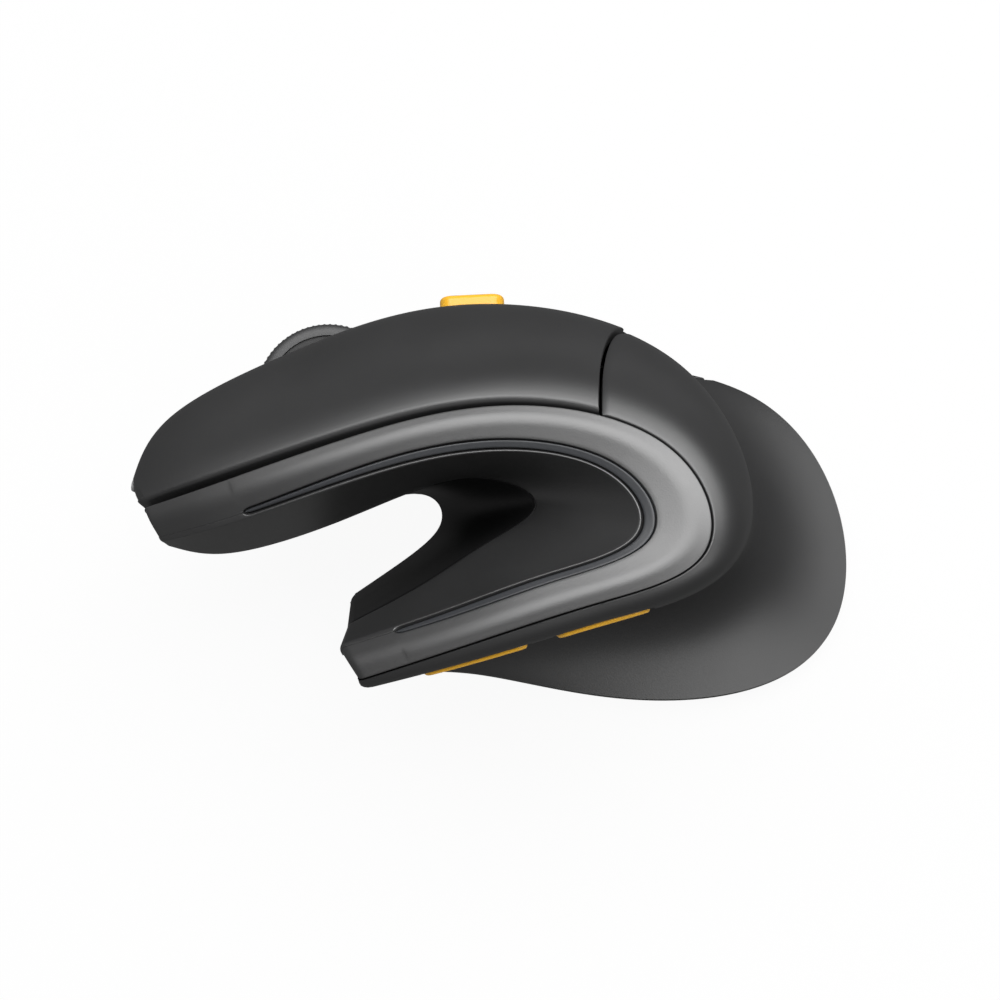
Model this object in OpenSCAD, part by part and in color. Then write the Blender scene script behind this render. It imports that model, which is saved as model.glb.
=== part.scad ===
// Vertical ergonomic mouse: a leaning horseshoe ridge over a round palm flange.
// X points to the finger side, Y to the nose of the finger arm, Z up from the desk.

/* [Body] */
// Length from the nose of the finger arm to the back of the flange
body_length = 120; // [114:1:126]
// Width of the footprint, thumb side to finger side
body_width = 74; // [71:1:78]
// Height of the ridge crown above the desk
body_height = 67; // [64:1:70]
// Height of the nose underside above the desk
nose_height = 33; // [31:0.5:35]
// Height of the crown moulded into the ridge band
band_crown = 0.8; // [0.2:0.1:1.2]

/* [Shell] */
// Wall of the moulded covers
wall = 2; // [1.7:0.1:2.3]
// Gap at a fixed seam
seam = 0.3; // [0.2:0.05:0.4]
// Thickness of the base plate
base_t = 2.4; // [2.2:0.1:2.8]
// Thickness of the glide feet
glide_t = 0.6; // [0.4:0.1:0.8]
// Height of the flange edge above the base plate
rim_lip = 1.2; // [0.9:0.1:1.5]
// How far the base plate stands back under the flange edge
base_inset = 0.8; // [0.5:0.1:1.2]

/* [Inlay] */
// Width of the inlay strip at the back of the ridge
inlay_w = 2.4; // [2:0.1:2.8]
// Depth of the groove that holds the strip
groove_d = 1.1; // [0.9:0.05:1.3]
// How far the strip lies below the ridge surface
inlay_sink = 0.3; // [0.15:0.05:0.4]
// Side clearance of the strip in its groove
inlay_gap = 0.2; // [0.15:0.05:0.3]

/* [Main buttons] */
// Thickness of the two main button covers
button_t = 1.8; // [1.6:0.1:2]
// Gap along the sides of the main buttons
button_gap = 0.6; // [0.5:0.05:0.8]
// Gap between the left button and the ridge at the nose
nose_gap = 1.5; // [1.2:0.1:1.8]
// How far the left button stands proud of the ridge
button_proud = 0.5; // [0.3:0.1:0.7]
// Length of the pressing stem under a main button
stem_len = 3.6; // [3.3:0.1:4]
// Diameter of the pressing stem
stem_d = 3.2; // [2.6:0.1:3.8]
// Rest gap between a stem and the switch that it presses
press_gap = 0.85; // [0.8:0.05:0.95]

/* [Centre strip] */
// Width of the gloss strip between the main buttons
strip_w = 11; // [10.4:0.2:11.8]
// Length of the speed button
speed_l = 11; // [10:0.2:12]
// Width of the speed button
speed_w = 4.4; // [4:0.1:5]
// How far the speed button stands out
speed_proud = 2.3; // [1.8:0.1:2.6]

/* [Thumb buttons] */
// Length of the rear thumb button
back_l = 15; // [13:0.5:16]
// Length of the front thumb button
forward_l = 17; // [15:0.5:18]
// How far the thumb buttons stand out
thumb_proud = 0.7; // [0.5:0.1:1]
// Thickness of a small button below the skin
small_t = 1.6; // [1.4:0.1:1.9]
// Gap round a small button
small_gap = 0.35; // [0.3:0.05:0.45]
// Extra room of the thumb buttons for their slide
slide_clear = 0.15; // [0.1:0.05:0.2]
// Extra room beside the main buttons for their swing
swing_clear = 0.5; // [0.4:0.05:0.6]
// Diameter of the stem under a small button
small_stem_d = 3; // [2.6:0.1:3.4]

/* [Wheel] */
// Outer diameter of the scroll wheel
wheel_d = 25; // [24.4:0.2:25.4]
// Width of the scroll wheel
wheel_w = 6.4; // [6:0.2:7]
// How far the wheel stands out of the strip
wheel_proud = 3.8; // [3.4:0.1:4.2]
// Radial thickness of the rubber tyre
tyre_t = 2.4; // [2:0.1:2.8]
// Number of ribs round the tyre
rib_count = 80; // [60:4:96]
// Depth of the grooves between the ribs
rib_d = 0.4; // [0.3:0.05:0.6]
// Rise of the tyre crown
tyre_crown = 0.7; // [0.4:0.1:1]
// Diameter of the steel axle
axle_d = 2.6; // [2.2:0.1:3]
// Radial clearance of a running fit
run_clear = 0.05; // [0.03:0.01:0.08]
// Side clearance between the wheel and its cradle
wheel_side = 0.6; // [0.5:0.1:0.8]
// Thickness of the cradle cheeks
cheek_t = 1.5; // [1.2:0.1:1.8]
// Diameter of the cradle trunnions
trunnion_d = 3; // [2.6:0.1:3.4]

/* [Switches] */
// Length of a main micro switch
switch_l = 12.8; // [12:0.2:13.4]
// Width of a main micro switch
switch_w = 5.8; // [5.4:0.1:6.2]
// Height of a main micro switch without its plunger
switch_h = 6.2; // [5.8:0.1:6.6]
// Side of a small push switch
tact_side = 5; // [4.6:0.1:5.4]
// Height of a small push switch without its plunger
tact_h = 2.4; // [2.2:0.1:2.6]
// Height of a switch plunger
plunger_h = 0.6; // [0.5:0.05:0.7]

/* [Boards] */
// Thickness of the circuit boards
board_t = 1.2; // [1:0.1:1.6]
// Length of the main board
main_l = 32; // [31:0.5:33]
// Width of the main board
main_w = 26; // [25:0.5:27]
// Height of the board standoffs
standoff_h = 4.4; // [4.2:0.1:5]
// Diameter of the board standoffs
standoff_d = 4.4; // [4.2:0.1:5]
// Diameter of a screw shank
screw_d = 2; // [1.8:0.1:2.2]
// Diameter of a screw head
head_d = 3.8; // [3.4:0.1:4]
// Height of a screw head
head_h = 1.3; // [1.2:0.1:1.5]

/* [Battery] */
// Length of the battery cell
cell_l = 26; // [24:1:28]
// Width of the battery cell
cell_w = 16; // [14:1:18]
// Thickness of the battery cell
cell_t = 7; // [5:0.5:8]
// Height of the battery tray above the main board
tray_gap = 5; // [4:0.5:6]

/* [Underside] */
// Diameter of the sensor window
window_d = 9; // [8:0.5:10]
// Travel of the power slider
power_travel = 4; // [3:0.5:5]
// Length of the power slider knob
knob_l = 4; // [3.5:0.5:5]
// Width of the power slider knob
knob_w = 3; // [2.6:0.2:3.6]
// Length of the charging socket
usb_l = 7.4; // [7:0.2:8]
// Wide side of the charging socket
usb_w = 9; // [8.8:0.1:9.4]
// Narrow side of the charging socket
usb_h = 3.2; // [3.1:0.1:3.5]

/* [Hidden] */

$fn = 48;
shell_grey = [0.24, 0.24, 0.25];
band_grey = [0.42, 0.42, 0.43];
slate = [0.36, 0.39, 0.42];
gloss_black = [0.05, 0.05, 0.06];
amber = [0.98, 0.72, 0.16];
board_green = [0.1, 0.3, 0.2];
steel = [0.72, 0.73, 0.75];
ivory = [0.85, 0.84, 0.8];

// Heights that stack from the desk
base_low = glide_t;
base_top = glide_t + base_t;

// The rails are drawn at this nominal size and follow the body sizes
fit = [body_width / 74, body_length / 120, body_height / 67];
// Shift that puts the origin under the middle of the whole mouse
middle = [1.6, 0.44];

// Rails of the housing. Each runs from the nose of the finger arm, round the back,
// to the tip of the thumb arm, as the control points of one smooth curve.
// Plan of the bay edge at the desk
foot_plan = [[11, 56.5], [14, 47], [17, 32], [18, 15], [14.5, 10], [9.5, 10.5],
    [6.5, 15.5], [4, 22.5], [1, 31.5]];
// Crease between the scoop and the steep bay wall
crease_rail = [[9, 57.5, 37], [4.5, 50, 33.5], [5, 29, 34], [7, 10, 38], [-0.5, 0.5, 48],
    [-7, -3.5, 49], [-9, 8.5, 48], [-12, 18.5, 45], [-14, 33, 42]];
// Inner edge of the inlay strip
lip_rail = [[8, 58, 42], [4.5, 45, 50.5], [3.7, 26, 57.5], [2, 6, 62.5], [-7, -13, 65],
    [-21.5, -16, 64.5], [-19.5, 2, 60.5], [-19.5, 17, 55], [-18, 35, 47]];
// Outer edge of the ridge band
ridge_rail = [[13.5, 59, 45], [11.5, 46, 52], [10.5, 26, 59], [8.5, 0, 65], [-6.5, -25, 67.5],
    [-29, -25, 66.5], [-27, -4, 63], [-26.5, 16, 57], [-25, 33.5, 49]];
// Shoulder, pulling the skin outwards below the ridge
shoulder_rail = [[19.5, 60.5, 39], [32, 56, 42], [35.5, 29, 46], [38.5, 0, 51], [14, -38, 55],
    [-31, -35, 63], [-31.5, -4, 60], [-30, 16, 53], [-27, 33, 46]];
// Waist, pulling the skin inwards over the thumb rest
waist_rail = [[21, 59.5, 37], [34, 52, 27], [38, 30, 24], [38, 0, 24], [22, -40, 26],
    [-27, -40, 32], [-15, -4, 30], [-14, 14, 26], [-13, 32.5, 24]];
// Flare, where the wall turns out into the flange
flare_rail = [[19, 58, 35], [31, 49, 20], [36, 32, 10], [37, 2, 8], [26, -46, 10],
    [-26, -46, 11], [-18, -8, 9], [-14, 14, 9], [-13, 32.5, 9]];
// Plan of the flange edge
rim_plan = [[17, 57.5], [27, 47], [34, 32], [38, 4], [23, -66], [-40.5, -58],
    [-35.5, -13], [-17, 14], [-14, 33]];

// Stations along the rails
thumb_tip = 8;
keel_at = 2.4;
keel_power = 1.4;
wheel_at = 2.11;
speed_at = 3.03;
back_at = 6.05;
forward_at = 7.0;
inlay_from = 1.05;
inlay_to = 7.5;
// Places across the rails: bay edge -3, crease -2, lip -1, ridge 0, flange edge 4
bay_edge = -3;
crease = -2;
lip = -1;
ridge = 0;
rim = 4;
strip_at = 1.5;
right_end = 2.55;
thumb_high = 0.74;
thumb_low = 1.36;
thumb_press = 1.25;
thumb_boss_v = 1.5;
thumb_boss_u = [5.75, 7.3];
left_press = [2, 0.82];
right_press = [2.12, 2.3];

function unit(p) = p / norm(p);
function mix(a, b, t) = a + (b - a) * t;
function end_point(p, i) = i < 0 ? 2 * p[0] - p[1]
    : i > len(p) - 1 ? 2 * p[len(p) - 1] - p[len(p) - 2] : p[i];
// Point of a uniform cubic spline that starts and ends on its first and last control points
function spline(p, t) =
    let (k = min(max(floor(t), 0), len(p) - 2), f = t - k)
    ((1 - f) ^ 3 * end_point(p, k - 1) + (3 * f ^ 3 - 6 * f ^ 2 + 4) * end_point(p, k)
        + (3 * f + 3 * f ^ 2 - 3 * f ^ 3 + 1) * end_point(p, k + 1)
        + f ^ 3 * end_point(p, k + 2)) / 6;
function place(x, y, z = 0) = [(x - middle.x) * fit.x, (y - middle.y) * fit.y, z];
function sized(p) = place(p.x, p.y, p.z * fit.z);
// Height of the underside, flat on the base plate and rising to the nose
function keel(u) = base_top
    + (nose_height * fit.z - base_top) * max(0, (keel_at - u) / keel_at) ^ keel_power;
function plan(p, u) = let (q = spline(p, u), r = place(q.x, q.y)) [r.x, r.y];
function foot(u) = let (q = plan(foot_plan, u)) [q.x, q.y, keel(u)];
function rim_edge(u) = let (q = plan(rim_plan, u)) [q.x, q.y, keel(u) + rim_lip];
function outer_rails(u) = [sized(spline(ridge_rail, u)), sized(spline(shoulder_rail, u)),
    sized(spline(waist_rail, u)), sized(spline(flare_rail, u)), rim_edge(u)];
function band_point(a, b, t) = mix(a, b, t) + [0, 0, 4 * band_crown * t * (1 - t)];
// Point of the outer surface at station u, place v
function skin(u, v) = v >= ridge ? spline(outer_rails(u), v)
    : v >= lip ? band_point(sized(spline(lip_rail, u)), sized(spline(ridge_rail, u)), v - lip)
    : v >= crease ? mix(sized(spline(crease_rail, u)), sized(spline(lip_rail, u)), v - crease)
    : mix(foot(u), sized(spline(crease_rail, u)), v - bay_edge);
probe = 0.02;
function along(u, v) = skin(min(u + probe, thumb_tip), v) - skin(max(u - probe, 0), v);
function across(u, v) = skin(u, min(v + probe, rim)) - skin(u, max(v - probe, bay_edge));
// Outward direction, shared by both neighbours close to a hard edge so that seams are mitred
edge_reach = 0.07;
function near_edge(v) = v < 0.5 && v > bay_edge + 0.5 && abs(v - round(v)) < edge_reach;
function facing(u, v) = let (w = near_edge(v) ? round(v) : v) unit(cross(along(u, w), across(u, w)));
// Steps of u or v that cover a length in millimetres
function u_step(u, v, d) = d * 2 * probe / norm(along(u, v));
function v_step(u, v, d) = d * probe / norm(skin(u, v + probe) - skin(u, v));
// Rear seam of the main buttons
function button_end(v) = 3.55 + seam_sweep * (min(max(v, 0), strip_at) / strip_at) ^ 1.6;
seam_sweep = 0.235;

// Local frame on the skin: origin, forward, across and outward directions
function frame(u, v, sense) =
    let (c = facing(u, v), t = sense * along(u, v), a = unit(t - c * (t * c)))
    [skin(u, v), a, cross(c, a), c];
function local(f, p) = [(p - f[0]) * f[1], (p - f[0]) * f[2], (p - f[0]) * f[3]];
module in_frame(f) {
    multmatrix([[f[1].x, f[2].x, f[3].x, f[0].x], [f[1].y, f[2].y, f[3].y, f[0].y],
        [f[1].z, f[2].z, f[3].z, f[0].z], [0, 0, 0, 1]]) children();
}
finger_frame = frame(wheel_at, strip_at, -1);
speed_frame = frame(speed_at, strip_at, -1);
thumb_mid = (thumb_high + thumb_low) / 2;
thumb_frame = frame((back_at + forward_at) / 2, thumb_press, 1);

// Closed solid between two point grids of the same size, open cells left out
function is_cell(i, j, n, m, holes) = i >= 0 && j >= 0 && i < n - 1 && j < m - 1
    && len([for (h = holes) if (i >= h[0] && i < h[1] && j >= h[2] && j < h[3]) 1]) == 0;
function two_faces(a, b, c, d) = [[a, b, c], [a, c, d]];
function cell_faces(i, j, n, m, holes) =
    let (s = n * m, a = i * m + j, b = a + 1, c = a + m + 1, d = a + m)
    concat(two_faces(a, b, c, d), two_faces(s + a, s + d, s + c, s + b),
        is_cell(i - 1, j, n, m, holes) ? [] : two_faces(b, a, s + a, s + b),
        is_cell(i, j + 1, n, m, holes) ? [] : two_faces(c, b, s + b, s + c),
        is_cell(i + 1, j, n, m, holes) ? [] : two_faces(d, c, s + c, s + d),
        is_cell(i, j - 1, n, m, holes) ? [] : two_faces(a, d, s + d, s + a));
module grid_solid(outer, inner, holes = []) {
    n = len(outer);
    m = len(outer[0]);
    points = concat([for (row = outer) each row], [for (row = inner) each row]);
    faces = [for (i = [0 : n - 2]) for (j = [0 : m - 2]) if (is_cell(i, j, n, m, holes))
        each cell_faces(i, j, n, m, holes)];
    polyhedron(points, faces, convexity = 8);
}
// Inner face of a cover, kept on or above the base plate and square at the flange edge
function inside(u, v, depth) =
    let (p = skin(u, v) - depth * facing(u, v), q = rim_edge(u), low = keel(u))
    v == rim ? [q.x, q.y, low] : v == bay_edge ? [p.x, p.y, low] : [p.x, p.y, max(p.z, low)];
// Cover over a grid of [u, v] places
module cover(uv, lift, depth, holes = []) {
    outer = [for (row = uv) [for (q = row) skin(q[0], q[1]) + lift * facing(q[0], q[1])]];
    inner = [for (row = uv) [for (q = row) inside(q[0], q[1], depth)]];
    grid_solid(outer, inner, holes);
}
// Rows of even steps that pass through each stop, without repeating the stops
function stops(list, counts) = concat([for (k = [0 : len(counts) - 1])
    each [for (i = [0 : counts[k] - 1]) mix(list[k], list[k + 1], i / counts[k])]],
    [list[len(list) - 1]]);

// Edges of the main buttons and of the strip, at station u
strip_half_v = v_step(wheel_at, strip_at, strip_w / 2);
strip_low = strip_at - strip_half_v;
strip_high = strip_at + strip_half_v;
button_steps = 26;
// Left button edge: the gap to the ridge narrows from the nose to the rear
function left_edge(u) = v_step(u, 0.05, mix(nose_gap, seam, min(1, u / button_end(0))));
// Extra room at the edge that a main button swings towards, from none at the rear to most at the nose
function swing(u) = swing_clear * max(0, 1 - u / button_end(0));
function button_u(s, v) = mix(0, button_end(v) - u_step(button_end(v), v, seam), s);
function button_grid(v_from, v_to, rows) = [for (i = [0 : button_steps]) [for (j = [0 : rows])
    let (v0 = mix(v_from, v_to, j / rows), u0 = button_u(i / button_steps, v0),
        lo = v_from == ridge ? left_edge(u0) : v_from + v_step(u0, v_from, button_gap / 2),
        hi = v_to - v_step(u0, v_to, button_gap / 2 + swing(u0)), v = mix(lo, hi, j / rows))
    [button_u(i / button_steps, v), v]]];

// Depth of a stem end below the skin
stem_depth = button_t + stem_len;
left_local = local(finger_frame, skin(left_press[0], left_press[1]));
right_local = local(finger_frame, skin(right_press[0], right_press[1]));
// Sizes of the finger chassis and the wheel cradle, as depths below the strip at the wheel
slot_w = wheel_w + 2 * wheel_side;
slot_half = sqrt((wheel_d / 2) ^ 2 - (wheel_d / 2 - wheel_proud - wall) ^ 2) + wheel_side;
axle_deep = wheel_d / 2 - wheel_proud;
wheel_low = axle_deep + wheel_d / 2;
cradle_gap = 1;
encoder_l = 11;
encoder_w = 3.6;
encoder_h = 10;
encoder_rise = 2;
cradle_floor = wheel_low + cradle_gap;
cradle_t = 1.5;
plate_deep = cradle_floor + cradle_t + 1;
plate_t = 2;
// Reach of a cut that goes right through
far = 200;
plate_rear = -36;
plate_front = 15;
plate_high = 13;
plate_low = -8;
arm_low = right_local.y - switch_w / 2;
cheek_out = slot_w / 2 + cheek_t;
pivot_x = 12;
pivot_deep = cradle_floor - 1;
ear_t = 2;
ear_gap = 0.3;
foot_plate_w = 8.6;
foot_plate_t = 2;
chassis_boss_h = 6;
left_top = stem_depth - left_local.z + press_gap;
right_top = stem_depth - right_local.z + press_gap;
speed_local = local(finger_frame, skin(speed_at, strip_at));
speed_stem = small_t + 1.6;
speed_top = speed_stem - speed_local.z + press_gap;
// Where the leaning plate meets the base plate, at place x along it
function chassis_line(x) =
    let (p = finger_frame[0] + x * finger_frame[1] - (plate_deep + plate_t / 2) * finger_frame[3],
        q = p + finger_frame[2] * (base_top - p.z) / finger_frame[2].z) [q.x, q.y, base_top];
module stem(at, d, from, to) {
    translate([at.x, at.y, at.z - to]) cylinder(d = d, h = to - from);
}
module left_button() {
    color(shell_grey) union() {
        cover(button_grid(ridge, strip_low, 6), button_proud, button_t);
        in_frame(finger_frame) stem(left_local, stem_d, button_t / 2, stem_depth);
    }
}
module right_button() {
    color(shell_grey) union() {
        cover(button_grid(strip_high, right_end, 5), 0, button_t);
        in_frame(finger_frame) stem(right_local, stem_d, button_t / 2, stem_depth);
    }
}

// Finger side cover below the right button, clear of its swing
skirt_steps = 24;
skirt_gap = button_gap / 2 + swing_clear / 2;
module finger_skirt() {
    uv = [for (i = [0 : skirt_steps]) [for (j = [0 : 8])
        let (u0 = button_u(i / skirt_steps, right_end),
            lo = right_end + v_step(u0, right_end, skirt_gap), v = mix(lo, rim, j / 8))
        [button_u(i / skirt_steps, rim), v]]];
    color(shell_grey) cover(uv, 0, wall);
}

// Gloss strip with the wheel slot and the speed button opening
strip_from = 0.42;
strip_steps = 24;
module centre_strip() {
    edge = v_step(wheel_at, strip_at, button_gap / 2);
    uv = [for (i = [0 : strip_steps]) [for (v = stops([strip_low + edge, strip_high - edge], [4]))
        [mix(strip_from, button_end(v) - u_step(button_end(v), v, seam), i / strip_steps), v]]];
    color(gloss_black) difference() {
        cover(uv, 0, wall);
        slot_cut();
        speed_cut();
    }
}
cut_h = 12;
// Straight-sided slot for the wheel
module slot_cut() {
    in_frame(finger_frame)
        translate([-slot_half, -slot_w / 2, -cut_h]) cube([2 * slot_half, slot_w, 2 * cut_h]);
}
// Opening with round ends for the speed button
module stadium(l, w, h) {
    linear_extrude(h) union() {
        square([l - w, w], center = true);
        for (s = [-1, 1]) translate([s * (l - w) / 2, 0]) circle(d = w);
    }
}
module speed_cut() {
    in_frame(speed_frame) translate([0, 0, -cut_h])
        stadium(speed_l + 2 * small_gap, speed_w + 2 * small_gap, 2 * cut_h);
}
module speed_button() {
    color(amber) in_frame(speed_frame) union() {
        translate([0, 0, -small_t]) stadium(speed_l, speed_w, small_t + speed_proud);
        translate([0, 0, -speed_stem]) cylinder(d = small_stem_d, h = speed_stem);
    }
}

// Palm cover with the flange, open where the thumb buttons come through
function thumb_span(at, l) = u_step(at, thumb_mid, l / 2);
back_du = thumb_span(back_at, back_l);
forward_du = thumb_span(forward_at, forward_l);
thumb_gap = small_gap + slide_clear;
thumb_cu = u_step(back_at, thumb_mid, thumb_gap);
thumb_cv = v_step(back_at, thumb_mid, thumb_gap);
palm_stops = [back_at - back_du - thumb_cu, back_at + back_du + thumb_cu,
    forward_at - forward_du - thumb_cu, forward_at + forward_du + thumb_cu, thumb_tip];
palm_counts = [22, 3, 1, 3, 3];
palm_steps = 32;
palm_v = stops([0, thumb_high - thumb_cv, thumb_low + thumb_cv, rim], [3, 1, 10]);
module palm_shell() {
    uv = [for (i = [0 : palm_steps]) [for (v0 = palm_v)
        let (start = button_end(v0) + u_step(button_end(v0), v0, seam),
            u = stops(concat([start], palm_stops), palm_counts)[i])
        [u, max(v0, v_step(u, ridge, seam / 2))]]];
    back_hole = [22, 25, 3, 4];
    forward_hole = [26, 29, 3, 4];
    color(shell_grey) difference() {
        union() {
            cover(uv, 0, wall, [back_hole, forward_hole]);
            for (p = palm_boss_at) boss(p);
            in_frame(thumb_frame) for (p = thumb_boss_at) translate([p.x, p.y, -thumb_deep])
                cylinder(d = standoff_d, h = thumb_deep + p.z - wall / 2);
        }
        for (p = palm_boss_at) boss_bore(p);
        in_frame(thumb_frame) for (p = thumb_boss_at) translate([p.x, p.y, -thumb_deep - 1])
            cylinder(d = screw_d + 2 * run_clear, h = thumb_bite + 1.4);
    }
}
// Bosses under the flange that take the rear case screws
boss_d = 5;
palm_boss_at = [skin(4.2, 3), skin(5.1, 3)];
boss_drop = 2.9;
module boss(p) {
    translate([p.x, p.y, base_top]) cylinder(d = boss_d, h = p.z - boss_drop - base_top);
}
module boss_bore(p) {
    translate([p.x, p.y, base_top - 1])
        cylinder(d = screw_d + 2 * run_clear, h = base_low + head_h + case_screw_l - base_top + 1.4);
}

// Thumb buttons and what they press
thumb_stem_l = 0.4;
tact_top = tact_h + plunger_h;
thumb_deep = small_t + thumb_stem_l + press_gap + tact_top;
thumb_boss_at = [for (u = thumb_boss_u) local(thumb_frame, skin(u, thumb_boss_v))];
thumb_bite = 3;
thin_head_h = 0.8;
module thumb_cap_button(at, du, p) {
    us = stops([at - du, at + du], [3]);
    color(amber) union() {
        cover([for (u = us) [for (v = [thumb_high, thumb_low]) [u, v]]], thumb_proud, small_t);
        in_frame(thumb_frame) translate([p.x, p.y, press_gap + tact_top - thumb_deep])
            cylinder(d = small_stem_d, h = thumb_stem(p));
    }
}
// Where a button centre lies over the thumb board, and how long its stem is
back_local = local(thumb_frame, skin(back_at, thumb_press));
forward_local = local(thumb_frame, skin(forward_at, thumb_press));
function thumb_stem(p) = thumb_deep + p.z - tact_top - press_gap;
module back_button() {
    thumb_cap_button(back_at, back_du, back_local);
}
module forward_button() {
    thumb_cap_button(forward_at, forward_du, forward_local);
}
thumb_board_up = 2.5;
board_end = 2.6;
thumb_board_w = thumb_board_up + max(thumb_boss_at[0].y, thumb_boss_at[1].y) + board_end;
module thumb_board() {
    color(board_green) in_frame(thumb_frame) difference() {
        translate([thumb_boss_at[0].x - board_end, -thumb_board_up, -thumb_deep - board_t])
            cube([thumb_boss_at[1].x - thumb_boss_at[0].x + 2 * board_end, thumb_board_w, board_t]);
        for (p = thumb_boss_at) translate([p.x, p.y, -thumb_deep - board_t - 1])
            cylinder(d = screw_d + 2 * run_clear, h = board_t + 2);
    }
}
module tact_switch(at) {
    color(gloss_black) translate(at) union() {
        translate([-tact_side / 2, -tact_side / 2, 0]) cube([tact_side, tact_side, tact_h]);
        cylinder(d = small_stem_d + 0.4, h = tact_top);
    }
}
module back_switch() {
    in_frame(thumb_frame) tact_switch([back_local.x, back_local.y, -thumb_deep]);
}
module forward_switch() {
    in_frame(thumb_frame) tact_switch([forward_local.x, forward_local.y, -thumb_deep]);
}
module thumb_screws() {
    color(steel) in_frame(thumb_frame) for (p = thumb_boss_at)
        translate([p.x, p.y, -thumb_deep - board_t]) mirror([0, 0, 1])
            screw(thumb_bite + board_t, thin_head_h);
}

// Ridge cover: scoop, inlay groove and band in one piece
inlay_taper = [0.5, 0.55, 0.75, 0.92, 1.05, 1.1, 1.05, 0.85, 0.5];
function inlay_v(u) = inlay_w * spline(inlay_taper, u)
    / norm(skin(u, ridge) - sized(spline(lip_rail, u)));
groove_wall = 0.15;
inlay_bed = 0.12;
function groove_v(u) = groove_wall * inlay_v(u) / inlay_w;
function ridge_places(u) = let (g = groove_v(u), w = inlay_v(u))
    concat(stops([crease + v_step(u, -1.9, seam / 2), lip], [4]), [lip + g, lip + w - g],
        stops([lip + w, ridge - v_step(u, -0.1, seam / 2)], [4]));
groove_end = 0.04;
inlay_stops = [inlay_from + groove_end, inlay_to - groove_end];
inlay_steps = 50;
ridge_us = stops([0, inlay_from - groove_end, inlay_from, inlay_stops[0], inlay_stops[1], inlay_to,
    inlay_to + groove_end, thumb_tip], [7, 1, 1, inlay_steps, 1, 1, 3]);
function in_groove(u, j) = u >= inlay_from && u <= inlay_to && (j == 5 || j == 6);
function band_facing(u, v) = facing(u, max(v, lip + edge_reach + 0.01));
module ridge_cover() {
    outer = [for (u = ridge_us) let (vs = ridge_places(u)) [for (j = [0 : len(vs) - 1])
        skin(u, vs[j]) - (in_groove(u, j) ? groove_d : 0) * band_facing(u, vs[j])]];
    inner = [for (u = ridge_us) let (vs = ridge_places(u)) [for (v = vs)
        skin(u, v) - wall * facing(u, v)]];
    color(band_grey) grid_solid(outer, inner);
}
module inlay_strip() {
    us = stops(inlay_stops, [inlay_steps]);
    rows = [for (u = us) let (g = groove_v(u) + inlay_gap * inlay_v(u) / inlay_w, w = inlay_v(u))
        [for (t = [0, 0.5, 1]) [u, mix(lip + g, lip + w - g, t)]]];
    outer = [for (row = rows) [for (q = row) skin(q[0], q[1]) - inlay_sink * band_facing(q[0], q[1])]];
    inner = [for (row = rows) [for (q = row) skin(q[0], q[1])
        - (groove_d - inlay_bed) * band_facing(q[0], q[1])]];
    color(slate) grid_solid(outer, inner);
}
// Steep wall round the bay between the arms
module bay_liner() {
    us = stops([0, thumb_tip], [56]);
    uv = [for (u = us) [for (t = [0, 0.5, 1])
        [u, mix(bay_edge, crease - v_step(u, -2.1, seam / 2), t)]]];
    color(shell_grey) cover(uv, 0, wall);
}
// Rising floor under the finger arm, between the bay wall and the finger cover
floor_from = 0.46;
floor_gap = wall + seam;
module beak_floor() {
    us = stops([floor_from, keel_at], [16]);
    function edge_share(u) = floor_gap / norm(rim_edge(u) - foot(u));
    rows = [for (u = us) [for (t = [0, 0.5, 1])
        let (e = edge_share(u), a = foot(u), b = rim_edge(u) - [0, 0, rim_lip])
        mix(a, b, mix(e, 1 - e, t))]];
    top = [for (row = rows) [for (p = row) p + [0, 0, wall]]];
    color(shell_grey) grid_solid(rows, top);
}
// Plugs that close the open ends of both arms inside the covers: a flat section of the room
// between the bay side and the outer side, given a thickness
cap_bay_v = [bay_edge, -2.5, -2.05, -1.5, -1.1];
nose_side_v = [0.95, 1.35, 1.7, 2.1, 2.5];
thumb_side_v = concat(nose_side_v, [3.2, 3.7]);
function cap_point(u, v, depth, low) =
    let (p = skin(u, v) - depth * facing(u, v)) [p.x, max(p.z, low)];
// The last corner stands in from the rim, which is on the other side of the thumb arm
function cap_outline(u, depth, side_depth, low, side_v) = concat(
    [for (v = cap_bay_v) cap_point(u, v, depth, low)],
    [for (v = side_v) cap_point(u, v, side_depth, low)], [[rim_edge(u).x + (u > keel_at ? depth : -depth), low]]);
module plug(front, outline) {
    translate([0, front, 0]) rotate([90, 0, 0]) linear_extrude(cap_t) polygon(outline);
}
cap_t = 2.2;
cap_depth = wall + seam;
cap_play = 0.5;
nose_depth = wall + nose_gap + cap_play;
nose_at = 0.1;
nose_front = foot(nose_at).y - seam;
module nose_cap() {
    color(shell_grey) plug(nose_front,
        cap_outline(nose_at, cap_depth + cap_play, nose_depth, keel(nose_at), nose_side_v));
}
cap_at = 7.8;
thumb_front = foot(thumb_tip).y - seam;
module thumb_cap() {
    color(shell_grey) difference() {
        plug(thumb_front,
            cap_outline(cap_at, cap_depth + cap_play, cap_depth + cap_play, base_top, thumb_side_v));
        translate(usb_at - [small_gap / 2, 0, small_gap / 2])
            cube([usb_h + small_gap, usb_l + 4, usb_w + small_gap]);
    }
}

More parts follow.
